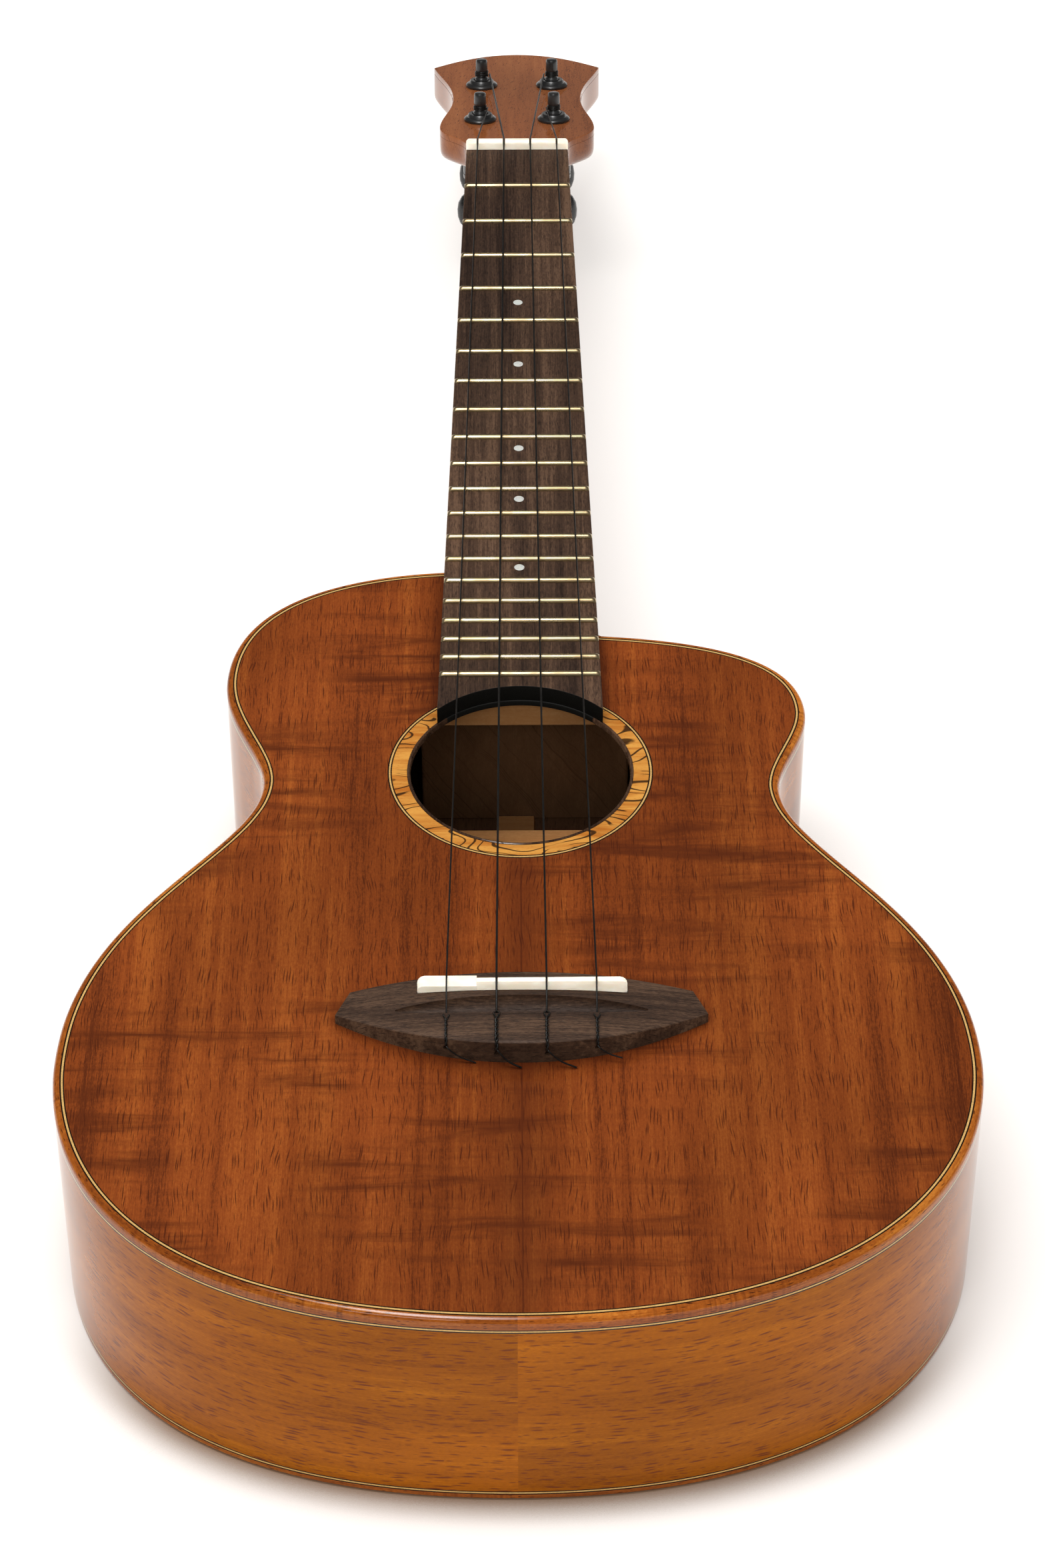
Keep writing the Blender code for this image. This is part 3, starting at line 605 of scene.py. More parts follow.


# The soundboard carries painted shade where the bridge, the fingerboard and other pieces stand on it.
def koa_top():
    return wood("koa_top", (92, 42, 20), (138, 67, 28), (166, 89, 37), book=True,
                contrast=0.17, pore=(0.3, 6.5, 9.5, 0.78), flame=1.0,
                flame_at=((45.0, 55.0, 62.0), (-18.0, -62.0, 48.0)), seam=1.0,
                pore_colour=(78, 34, 17), shine=0.22, zones=0.16, painted_shade_reach=9.0)


def koa_back():
    return wood("koa_back", (104, 47, 20), (136, 66, 28), (160, 84, 34), book=True,
                pore=(0.26, 7.0, 11.0, 0.75), flame=0.9, seam=0.7, pore_colour=(76, 33, 16),
                shine=0.22, zones=0.14)


def koa_inside():
    """The bare inner faces of the back, the soundboard and the sides."""
    return wood("koa_inside", (84, 56, 36), (104, 70, 46), (120, 84, 56), gloss=False, roughness=0.8,
                pore_colour=(76, 50, 32))


def koa_side():
    return wood("koa_side", (124, 64, 12), (157, 86, 10), (184, 108, 16), bent=True, across=2.6,
                along=60.0, pore=(0.6, 5.0, 12.0, 0.75), pore_colour=(108, 52, 26), shine=0.22,
                white=SIDE_LIGHT)


def koa_binding():
    """Curly wood: bright and dark ripples across the strip."""
    return wood("koa_binding", (104, 46, 14), (166, 88, 28), (214, 132, 50), bent=True,
                across=1.2, along=60.0, pore=(0.3, 2.0, 5.0, 0.7), pore_colour=(70, 30, 12),
                flame=0.7, flame_size=(30.0, 1.3), shine=0.55)


def neck_wood():
    return wood("neck_wood", (116, 64, 36), (150, 88, 51), (168, 104, 62), across=2.4,
                pore=(0.22, 2.6, 6.0, 0.7), pore_colour=(92, 50, 30), shine=0.3)


def rosewood(name, sideways=False, gloss=False):
    return wood(name, (46, 29, 20), (76, 54, 40), (112, 84, 64), across=1.7, along=110.0,
                sideways=sideways, contrast=0.16, pore=(0.15, 2.6, 2.2, 0.6), gloss=gloss,
                pore_colour=(36, 25, 19), roughness=0.5, zones=0.2)


def softwood(name, white=LIGHT):
    return wood(name, (166, 112, 64), (192, 134, 80), (208, 152, 98), across=1.4, sideways=True,
                gloss=False, roughness=0.7, pore=(0.1, 1.0, 9.0, 0.3), white=white)


def mahogany():
    return wood("inner_mahogany", (112, 78, 50), (124, 88, 58), (138, 100, 68),
                gloss=False, roughness=0.8, pore_colour=(100, 68, 42))


def black_end_and_painted_shade():
    """The stained, near-black end of the fingerboard; on the soundhole liner under the board the same
    near-black is painted shade.
    """
    tree = Tree("black_end_and_painted_shade")
    grit = tree.noise(tree.place(), (0.3, 2.0, 0.3), 2.0)
    colour = tree.tones(grit, shown(16, 15, 11), shown(25, 23, 18))
    return tree.done(colour, 0.6, Specular_IOR_Level=0.2)


def spalted_maple():
    """Golden maple crossed by thin wandering black lines, and a few dark patches."""
    tree = Tree("spalted_maple")
    point = tree.place()
    tone = tree.noise(point, (26.0, 3.2, 8.0), 3.0, 0.6, 0.4)
    colour = tree.tones(tone, shown(190, 112, 40), shown(232, 166, 78))
    spot = tree.noise(point, (1.2, 0.5, 1.0), 2.0)
    colour = tree.mix(tree.span(spot, 0.55, 0.75, 0.0, 0.35), colour, shown(160, 88, 30))
    field = tree.noise(point, (38.0, 13.0, 12.0), 1.0, 0.4, 0.3)
    lines = None
    for level, width in ((0.36, 0.009), (0.42, 0.006), (0.475, 0.011), (0.53, 0.006), (0.59, 0.009)):
        off = tree.math("ABSOLUTE", tree.minus(field, level))
        line = tree.span(off, width * 0.45, width, 1.0, 0.0)
        lines = line if lines is None else tree.math("MAXIMUM", lines, line)
    breaks = tree.noise(point, (9.0, 9.0, 9.0), 1.0)
    lines = tree.times(lines, tree.span(breaks, 0.34, 0.44))
    colour = tree.mix(tree.times(lines, 0.92), colour, shown(46, 28, 16))
    patch = tree.noise(point, (8.0, 2.4, 5.0), 1.0, 0.5, 0.6)
    colour = tree.mix(tree.span(patch, 0.72, 0.75, 0.0, 0.9), colour, shown(66, 36, 20))
    return tree.done(colour, 0.4, Coat_Weight=tree.glancing(0.4, 1.0), Coat_Roughness=0.035,
                     Specular_IOR_Level=0.0)


def lacquered(name, colour):
    """A thin inlaid line under the lacquer."""
    tree = Tree(name)
    speck = tree.noise(tree.place(), (0.5, 0.5, 0.5), 2.0)
    shade = tree.span(speck, 0.3, 0.7, 0.86, 1.1)
    colour = tree.shaded(colour, shade)
    return tree.done(colour, 0.45, Coat_Weight=tree.glancing(0.4, 1.0), Coat_Roughness=0.04,
                     Specular_IOR_Level=0.0)


# ---- other materials ----
def bone():
    tree = Tree("bone")
    point = tree.place()
    cloud = tree.noise(point, (6.0, 2.5, 2.5), 3.0)
    speck = tree.noise(point, (0.25, 0.25, 0.5), 2.0)
    colour = tree.tones(cloud, (0.80, 0.71, 0.56, 1.0), (0.89, 0.83, 0.71, 1.0))
    colour = tree.mix(tree.span(speck, 0.6, 0.8, 0.0, 0.12), colour, (0.62, 0.50, 0.34, 1.0))
    return tree.done(colour, tree.span(cloud, 0.3, 0.7, 0.3, 0.42), tree.bump(speck, 0.01, 0.3),
                     Subsurface_Weight=0.15, Subsurface_Scale=0.001)


def pearl():
    tree = Tree("pearl")
    point = tree.place()
    sheen = tree.noise(point, (1.1, 0.8, 1.0), 3.0, 0.6, 1.5)
    colour = tree.mix(tree.span(sheen, 0.3, 0.5), shown(206, 196, 200), shown(230, 232, 224))
    colour = tree.mix(tree.span(sheen, 0.5, 0.72), colour, shown(196, 214, 216))
    return tree.done(colour, 0.22, Coat_Weight=0.6, Coat_Roughness=0.1)


def fret_wire():
    """Polished gold-coloured wire with fine scratches along the fret."""
    tree = Tree("fret_wire")
    point = tree.place()
    scratch = tree.noise(point, (6.0, 0.06, 0.06), 2.0)
    tarnish = tree.noise(point, (5.0, 4.0, 4.0), 2.0)
    colour = tree.tones(tarnish, (0.52, 0.41, 0.24, 1.0), (0.41, 0.30, 0.16, 1.0), 0.35)
    return tree.done(colour, tree.span(tarnish, 0.3, 0.7, 0.26, 0.38), tree.bump(scratch, 0.006, 0.5),
                     Metallic=1.0)


def string_line():
    tree = Tree("string")
    point = tree.place()
    tone = tree.noise(point, (1.0, 5.0, 1.0), 2.0)
    colour = tree.tones(tone, shown(16, 14, 12), shown(28, 25, 21))
    return tree.done(colour, 0.35, Specular_IOR_Level=0.3)


def black_metal():
    tree = Tree("peg_metal")
    point = tree.place()
    grit = tree.noise(point, (0.25, 0.25, 0.25), 2.0)
    wear = tree.noise(point, (3.0, 3.0, 3.0), 2.0)
    colour = tree.tones(wear, shown(26, 26, 27), shown(40, 39, 38), 0.35)
    return tree.done(colour, tree.span(grit, 0.3, 0.7, 0.3, 0.42), tree.bump(grit, 0.008, 0.4),
                     Coat_Weight=0.3, Coat_Roughness=0.25)


def black_plastic():
    tree = Tree("peg_button")
    point = tree.place()
    mould = tree.noise(point, (0.6, 0.6, 0.6), 3.0)
    colour = tree.tones(mould, shown(22, 22, 23), shown(32, 31, 31))
    return tree.done(colour, tree.span(mould, 0.3, 0.7, 0.24, 0.34), tree.bump(mould, 0.004, 0.15))


MATERIALS = {
    "koa_top": koa_top(), "koa_back": koa_back(), "koa_side": koa_side(),
    "koa_binding": koa_binding(), "neck_wood": neck_wood(), "spalted_maple": spalted_maple(),
    "rosewood": rosewood("rosewood"), "rosewood_bridge": rosewood("rosewood_bridge", True),
    "rosewood_gloss": rosewood("rosewood_gloss", gloss=True),
    # The back brace's softwood is lighter than the other braces' by painted light, for the light that falls
    # on it through the soundhole.
    "inner_softwood": softwood("inner_softwood"), "inner_softwood_painted_light": softwood("inner_softwood_painted_light", 0.7),
    "inner_mahogany": mahogany(), "koa_inside": koa_inside(),
    "bone": bone(), "pearl": pearl(), "black_end_and_painted_shade": black_end_and_painted_shade(),
    "line_black": lacquered("line_black", shown(36, 22, 13)),
    "line_cream": lacquered("line_cream", shown(222, 180, 112)),
    "fret_wire": fret_wire(), "string": string_line(), "peg_metal": black_metal(),
    "peg_button": black_plastic(),
}


def dress(obj, slot, body="root", stands_for=(), materials=None):
    """Give a piece its materials, by default the one its slot names, and its body, and hide the CAD nodes it
    stands for.
    """
    for name in materials or (slot,):
        obj.data.materials.append(MATERIALS[name])
    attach(obj, body)
    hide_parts(*stands_for)
    return obj


def repaint(obj, direction):
    """Give the faces that look in a direction the object's second material."""
    for polygon in obj.data.polygons:
        if polygon.normal.dot(direction) > 0.5:
            polygon.material_index = 1


# ---- body ----
LINES = ("line_black", "line_cream")
LINE_BANDS = [0, 1, 0, 0, 0, 0]     # black, cream, black, then the strips that aren't seen


def line_section(start, widths, flat, deep, sideways):
    """Closed section of a purfling, and the material of each strip round it.

    The lines run from start, side by side in inset (or in height, if sideways), with their faces at
    flat and their roots at deep.
    """
    marks = [start]
    for width in widths:
        marks.append(marks[-1] + width)
    section = [(m, flat) for m in marks] + [(marks[-1], deep), (marks[0], deep)]
    if sideways:
        section = [(b, a) for a, b in section]
    return section, LINE_BANDS


def rounded_edge(radius, steps=8):
    """(inset, drop) points of a quarter round, from the side up to the face."""
    angles = [math.pi / 2 * k / steps for k in range(steps + 1)]
    return [(radius * (1 - math.cos(a)), radius * (1 - math.sin(a))) for a in angles]


def make_body():
    width = sum(PURFLING)
    edge = inset(OUTLINE, BINDING + width)
    hole = circle(HOLE, ROSETTE_R, 160)
    top = plate("top_plate", [edge, hole], TOP - 2.0, TOP)
    dress(top, "koa_top", stands_for=["soundboard"], materials=["koa_top", "koa_inside"])
    repaint(top, Vector((0, 0, -1)))
    back = plate("back_plate", [edge], 0.0, BACK_TOP)
    dress(back, "koa_back", stands_for=["back"], materials=["koa_back", "koa_inside"])
    repaint(back, Vector((0, 0, 1)))

    low = box("binding_top")[0].z
    section = [(inset_, TOP - drop) for inset_, drop in rounded_edge(BINDING_ROUND)]
    section = [(0.0, low)] + section + [(BINDING, TOP), (BINDING, low)]
    dress(band("binding_front", section), "koa_binding", stands_for=["binding_top"])
    high = box("binding_back")[1].z
    section = [(0.0, high)] + rounded_edge(1.2, 6) + [(BINDING, 0.0), (BINDING, high)]
    dress(band("binding_rear", section), "koa_binding", stands_for=["binding_back"])

    for name, face, root in (("purfling_front", TOP, TOP - 2.0), ("purfling_rear", 0.0, BACK_TOP)):
        section, bands = line_section(BINDING, PURFLING, face, root, False)
        dress(band(name, section, bands), "koa_binding", materials=LINES)
    side_high = low - width
    side_low = high + width
    for name, start in (("purfling_side_high", side_high), ("purfling_side_low", high)):
        section, bands = line_section(start, PURFLING, 0.0, SIDE_THICK, True)
        dress(band(name, section, bands), "koa_binding", materials=LINES)

    corner = max(range(len(OUTLINE)), key=lambda i: OUTLINE[i].x + 4 * OUTLINE[i].y)
    section = [(0.0, side_low), (0.0, side_high), (SIDE_THICK, side_high), (SIDE_THICK, side_low)]
    faces = [0, 0, 1, 0]
    for name, first, last, node in (("side_right", 0, corner, "side_treble"),
                                    ("side_left", corner, None, "side_bass")):
        side = band(name, section, faces, first, last)
        dress(side, "koa_side", stands_for=[node], materials=["koa_side", "koa_inside"])


def make_rosette():
    place = Matrix.Translation((HOLE.x, HOLE.y, TOP))
    maple = ROSETTE_R - sum(ROSETTE_LINES)
    ring = lathe("rosette_ring", [(LINER_R, -1.0), (LINER_R, 0.0), (maple, 0.0), (maple, -1.0)], 160, place)
    dress(ring, "spalted_maple", stands_for=["rosette"])
    radius = maple
    profile = []
    for width in (0.0,) + ROSETTE_LINES:
        radius += width
        profile.append((radius, 0.0))
    profile += [(radius, -1.0), (maple, -1.0)]
    lines = lathe("rosette_lines", profile, 160, place, LINE_BANDS)
    dress(lines, "spalted_maple", materials=LINES)
    profile = [(HOLE_R, -1.5), (HOLE_R, -0.2), (HOLE_R + 0.15, 0.15), (HOLE_R + 0.45, 0.3),
               (LINER_R - 0.35, 0.28), (LINER_R - 0.08, 0.12), (LINER_R, -0.1), (LINER_R, -1.5)]
    liner = lathe("hole_liner", profile, 128, place)
    dress(liner, "rosewood_gloss", stands_for=["soundhole_ring"], materials=["rosewood_gloss", "black_end_and_painted_shade"])
    # Painted shade: the liner under the fingerboard's end takes the near-black material, for the shade
    # beneath the board.
    for polygon in liner.data.polygons:
        if polygon.center.y > HOLE.y * MM and abs(polygon.center.x) < BOARD_HIGH.x * MM - 2.4 * MM:
            polygon.material_index = 1


def slab(name, low, high, chamfer):
    """A box between two corners with all its edges broken."""
    bm = bmesh.new()
    bmesh.ops.create_cube(bm, size=1.0)
    size, middle = Vector(high) - Vector(low), (Vector(high) + Vector(low)) / 2
    bmesh.ops.scale(bm, vec=size, verts=bm.verts)
    bmesh.ops.translate(bm, vec=middle, verts=bm.verts)
    bmesh.ops.bevel(bm, geom=bm.edges, offset=chamfer, segments=2, affect="EDGES")
    return finish_mesh(name, bm)


INSIDE = {
    "inner_mahogany": ("lining_top", "lining_back", "tail_block", "bridge_plate"),
    "inner_softwood": ("brace_upper", "brace_lower", "fan_brace_bass", "fan_brace_treble"),
    # The back brace: the same softwood with painted light from the soundhole.
    "inner_softwood_painted_light": ("back_brace",),
}


def make_inside():
    """Most inner pieces keep their CAD solids; the neck block reaches over the cutaway's corner."""
    for material, names in INSIDE.items():
        for name in names:
            slots = frame["nodes"][name].data.materials
            slots.clear()
            slots.append(MATERIALS[material])
    low, high = box("neck_block")
    block = slab("heel_block", (low.x, low.y - 4.5, low.z), (33.0, low.y + 1.0, high.z), 0.4)
    dress(block, "inner_mahogany")
    rear = slab("heel_block_rear", (low.x, low.y + 1.0, low.z + 8.0), (high.x, high.y, high.z - 8.0), 0.4)
    dress(rear, "inner_mahogany", stands_for=["neck_block"])
    near, far = box("back_brace")[1].y + 0.3, low.y - 4.8
    rows = []
    for y in (near, far):
        rows.append([Vector((-7.3, y, BACK_TOP)), Vector((-6.8, y, BACK_TOP + 1.6)),
                     Vector((4.2, y, BACK_TOP + 1.6)), Vector((4.7, y, BACK_TOP))])
    dress(skin("back_strip", rows), "inner_softwood")


# ---- neck and headstock ----
HEAD_TURN = Matrix.Rotation(-HEAD_TILT, 4, "X")
HEAD_PLACE = Matrix.Translation((0.0, HEAD_START, HEAD_FACE_Z)) @ HEAD_TURN


def head_edge(count):
    """Right edge of the headstock, (half-width, distance from the nut): flare, waist, ear and end."""
    path = bezier((NUT_HALF, 0.2), (19.0, 9.0), (27.6, 11.0), (27.6, 21.0), count)
    path += bezier((27.6, 21.0), (27.6, 33.0), (23.3, 42.0), (23.3, 56.0), count)
    path += bezier((23.3, 56.0), (23.3, 74.0), (28.4, 84.0), (30.8, 97.2), count)
    path += bezier((30.8, 97.2), (24.0, 104.0), (14.0, HEAD_END), (0.0, HEAD_END), count)
    return path


NECK_START = box("neck")[0].y


def neck_half(y):
    return 22.2 - 4.4 * (y - NECK_START) / (HEAD_START - NECK_START)


def neck_depth(y):
    past = y - NECK_START
    return 16.9 - 2.7 * past / (HEAD_START - NECK_START) + 57.5 * math.exp(-(past / 12.5) ** 1.7)


def neck_ring(half, above, below, fullness, steps=40):
    """A section from its top line and its underside, each a point of the centre plane."""
    ring = []
    for k in range(steps + 1):
        angle = math.pi * k / steps
        c, s = math.cos(angle), math.sin(angle)
        across = math.copysign(abs(c) ** fullness, c) * half
        point = above.lerp(below, abs(s) ** fullness)
        ring.append(Vector((across, point.y, max(point.z, HEEL_FOOT))))
    return ring


def make_neck():
    rows = []
    count = 70
    for i in range(count):
        y = NECK_START + (HEAD_START - NECK_START) * (i / count) ** 1.8
        above = Vector((0.0, y, TOP))
        rows.append(neck_ring(neck_half(y), above, above - Vector((0, 0, neck_depth(y))), 0.97))
    last_depth = neck_depth(HEAD_START)
    edge = head_edge(26)
    for half, along in edge:
        blend = smoothstep(along / 30)
        above = HEAD_PLACE @ Vector((0.0, along, -HEADPLATE))
        shaft = Vector((0.0, HEAD_START + along, TOP - last_depth))
        below = shaft.lerp(HEAD_PLACE @ Vector((0.0, along, -HEAD_UNDER)), blend)
        rows.append(neck_ring(half, above, below, lerp(0.97, 0.16, blend)))
    dress(skin("neck_shaft", rows, sharp=40.0), "neck_wood", stands_for=["neck"])

    plan = edge + [(0.0, HEAD_END)] + [(-x, y) for x, y in reversed(edge)]
    sheet = plate("head_face", [plan], -HEADPLATE, 0.0, 0.2, HEAD_PLACE)
    dress(sheet, "neck_wood", stands_for=["headplate"])


def board_half(y):
    return lerp(NUT_HALF, SADDLE_HALF, (SCALE - y) / SCALE)


def fret_y(number):
    return SCALE * 2 ** (-number / 12)


def make_fretboard():
    radius = HOLE_R + 0.4
    sweep = math.asin(24.2 / radius)
    arc = [math.pi / 2 - sweep + 2 * sweep * k / 60 for k in range(61)]
    end = [(radius * math.cos(a), HOLE.y + radius * math.sin(a)) for a in arc]
    y_end = end[0][1]
    plan = [(board_half(SCALE), SCALE), (-board_half(SCALE), SCALE), (-board_half(y_end), y_end)]
    plan += list(reversed(end)) + [(board_half(y_end), y_end)]
    board = plate("fingerboard", [plan], TOP, BOARD_TOP, 0.15)
    dress(board, "rosewood", stands_for=["fretboard"], materials=["rosewood", "black_end_and_painted_shade"])
    for polygon in board.data.polygons:
        if polygon.normal.y < -0.3 and abs(polygon.normal.z) < 0.9:
            polygon.material_index = 1

    for number in range(1, 21):
        make_fret(number)
    for before in (5, 7, 10, 12, 15):
        y = (fret_y(before) + fret_y(before - 1)) / 2 + 1.3
        profile = [(0.0, -0.3), (0.0, 0.03), (1.45, 0.03), (1.6, -0.02), (1.6, -0.3)]
        dot = lathe("dot_%02d" % before, profile, 40, Matrix.Translation((0.0, y, BOARD_TOP)))
        dress(dot, "bone", materials=["pearl"])


def make_fret(number):
    """A rounded crown with bevelled ends."""
    y = fret_y(number)
    half = board_half(y)
    crown = box("fret_%02d" % number)[1].z - BOARD_TOP
    stations = [(-half + 0.02, 0.15), (-half + 0.3, 0.62), (-half + 0.8, 0.95), (-half + 1.4, 1.0)]
    stations += [(-x, size) for x, size in reversed(stations)]
    rows = []
    for x, size in stations:
        ring = []
        for k in range(13):
            angle = math.pi * k / 12
            ring.append(Vector((x, y + 1.1 * math.cos(angle), BOARD_TOP + crown * size * math.sin(angle))))
        rows.append(ring)
    fret = skin("fretwire_%02d" % number, rows, sharp=50.0)
    dress(fret, "fret_wire", stands_for=["fret_%02d" % number])


def string_x(number, pitch):
    return (number - 1.5) * pitch


def make_nut():
    """A bone nut with a rounded top and a groove under each string."""
    half = NUT_HIGH.x
    y0, y1 = NUT_LOW.y - 0.3, NUT_HIGH.y
    marks = {-half, -half + 0.35, -half + 0.9, half - 0.9, half - 0.35, half}
    for number in range(4):
        x, reach = string_x(number, PITCH_NUT), STRING_R[number] + 0.12
        marks |= {x + reach * t for t in (-1.05, -1.0, -0.7, -0.35, 0.0, 0.35, 0.7, 1.0, 1.05)}
    rows = []
    for x in sorted(marks):
        ease = max(0.0, abs(x) - half + 0.9) / 0.9
        top = NUT_HIGH.z - 0.9 * ease * ease
        for number in range(4):
            off = abs(x - string_x(number, PITCH_NUT)) / (STRING_R[number] + 0.12)
            if off <= 1.0:
                top = STRING_NUT_Z - STRING_R[number] * math.sqrt(1 - off * off)
        squeeze = 0.35 * ease * ease
        a, b = y0 + squeeze, y1 - squeeze
        rows.append(slice_at(x, [(a, TOP), (a, top - 0.6), (a + 0.25, top - 0.15), (a + 0.8, top),
                                 (b - 2.0, top - 0.15), (b - 0.8, top - 0.8), (b - 0.1, top - 1.8),
                                 (b, TOP)]))
    dress(skin("nut_bone", rows, sharp=40.0), "bone", stands_for=["nut"])


# ---- bridge and saddle ----
def bridge_front(x):
    return 5.5 - 4.2 * (x / BRIDGE_FRONT) ** 2


def bridge_rear(x):
    return -22.3 + 15.3 * (abs(x) / BRIDGE_REAR) ** 2.08


def bridge_top(x):
    """Height of the bridge's arched top: full in the middle and thin at the tips."""
    return TOP + 3.0 + 4.4 * (1 - min(abs(x) / BRIDGE_REAR, 1.0) ** 2.2)


def make_bridge():
    rows = []
    count = 96
    for i in range(count + 1):
        u = 2 * i / count - 1
        front = Vector((BRIDGE_FRONT * u, bridge_front(BRIDGE_FRONT * u)))
        rear = Vector((BRIDGE_REAR * u, bridge_rear(BRIDGE_REAR * u)))
        ring = [front.to_3d() + Vector((0, 0, TOP))]
        for t in (0.0, 0.006, 0.02, 0.1, 0.25, 0.4, 0.55, 0.7, 0.85, 0.965, 0.99, 1.0):
            at = front.lerp(rear, t)
            drop = {0.0: 0.55, 0.006: 0.22, 0.99: 0.12, 1.0: 0.35}.get(t, 0.0)
            ring.append(at.to_3d() + Vector((0, 0, bridge_top(at.x) - drop)))
        ring.append(rear.to_3d() + Vector((0, 0, TOP)))
        rows.append(ring)
    bridge = skin("bridge_block", rows, sharp=30.0)
    tools = [scoop_tool(), saddle_slot_tool()]
    for number in range(4):
        x = string_x(number, PITCH_SADDLE)
        tools.append(tube("string_hole", [Vector((x, -8.6, 73.1)), Vector((x, -27.0, 70.2))], 0.75, 20))
    cut(bridge, tools)
    dress(bridge, "rosewood", stands_for=["bridge"], materials=["rosewood_bridge"])


def scoop_tool():
    """A canoe-shaped cutter: pointed ends, round floor."""
    rows = []
    count = 60
    for i in range(count + 1):
        x = 33.8 * math.cos(math.pi * i / count)
        full = max(1 - (x / 34.0) ** 2, 0.0)
        half, deep = 0.15 + 3.45 * full ** 0.8, 0.2 + 3.4 * full ** 0.6
        lid = bridge_top(x) + 3.0
        middle = -7.45 - 0.5 * (1 - full)
        ring = [Vector((x, middle + half, lid))]
        for k in range(17):
            angle = math.pi * k / 16
            ring.append(Vector((x, middle + half * math.cos(angle), bridge_top(x) - deep * math.sin(angle))))
        ring.append(Vector((x, middle - half, lid)))
        rows.append(ring)
    return skin("scoop", rows)


def saddle_slot_tool():
    x0, x1 = SADDLE_LOW.x - 0.1, SADDLE_HIGH.x + 0.1
    y0, y1 = SADDLE_LOW.y - 0.1, SADDLE_HIGH.y + 0.1
    section = [(y0, SADDLE_LOW.z), (y1, SADDLE_LOW.z), (y1, 90.0), (y0, 90.0)]
    rows = [slice_at(x, section) for x in (x0, x1)]
    return skin("slot", rows)


def make_saddle():
    """Polished bone with rounded ends; left of a step its crest stands further forward."""
    x0, x1 = SADDLE_LOW.x, SADDLE_HIGH.x
    rear, front = SADDLE_LOW.y, SADDLE_HIGH.y
    top = SADDLE_HIGH.z
    step = -12.0
    marks = [x0, x0 + 0.15, x0 + 0.5, x0 + 1.1, x0 + 2.0, step - 0.15, step - 0.02, step + 0.02, step + 0.5]
    marks += [-4.0, 4.0, 12.0, 20.0, x1 - 2.0, x1 - 1.1, x1 - 0.5, x1 - 0.15, x1]
    rows = []
    for x in marks:
        end = max(x0 + 2.0 - x, x - x1 + 2.0, 0.0) / 2.0
        drop = 2.0 * (1 - math.sqrt(max(1 - end * end, 0.0)))
        pinch = 0.45 * end * end
        a, b = rear + pinch, front - pinch
        crest = top - drop
        if x < step:
            lean = [(b, crest - 0.5), (b - 0.25, crest - 0.08), (b - 0.8, crest), (a + 1.0, crest - 0.75),
                    (a + 0.1, crest - 1.7)]
        else:
            back = lerp(0.95, 0.55, (x - step) / (x1 - step))
            lean = [(b, crest - 1.3 - back * 0.4), (b - back * 0.6, crest - 0.5), (b - back - 0.35, crest),
                    (a + 0.45, crest - 0.3), (a + 0.05, crest - 1.4)]
        rows.append(slice_at(x, [(b, SADDLE_LOW.z)] + lean + [(a, SADDLE_LOW.z)]))
    dress(skin("saddle_bone", rows, sharp=32.0), "bone", stands_for=["saddle"])


# ---- strings ----
def string_run(number):
    """From the hole in the scoop over the saddle and the nut to its post."""
    radius = STRING_R[number]
    peg = PEGS[str(number + 1)]
    x0, x1 = string_x(number, PITCH_SADDLE), string_x(number, PITCH_NUT)
    crest = SADDLE_HIGH.z + radius
    side = -1 if number < 2 else 1
    along = (peg.y - HEAD_START) / math.cos(HEAD_TILT)
    x_end = peg.x - side * (1.9 + 3 * radius + 0.15)
    path = [(x0, -12.4, 72.4), (x0, -10.6, 72.85), (x0, -9.4, 74.1), (x0, -2.6, crest - 0.55),
            (x0, -0.9, crest + 0.02), (x0, 0.6, crest + 0.02)]
    run = smooth_path(path, 0.5)
    nut = smooth_path([(x1, SCALE + 0.6, STRING_NUT_Z), (x1, SCALE + 2.6, STRING_NUT_Z),
                       (x1, SCALE + 4.6, STRING_NUT_Z - 0.35)], 0.5)
    end = HEAD_PLACE @ Vector((x_end, along, 4.7))
    return run + nut + [end]


def twist(path, radius, pitch, phase):
    """A strand that winds round a path at its own radius."""
    out = []
    length = 0.0
    before = path[0]
    for point, _, side, up in frames_along(path):
        length += (point - before).length
        before = point
        angle = math.tau * length / pitch + phase
        out.append(point + radius * (side * math.cos(angle) + up * math.sin(angle)))
    return out


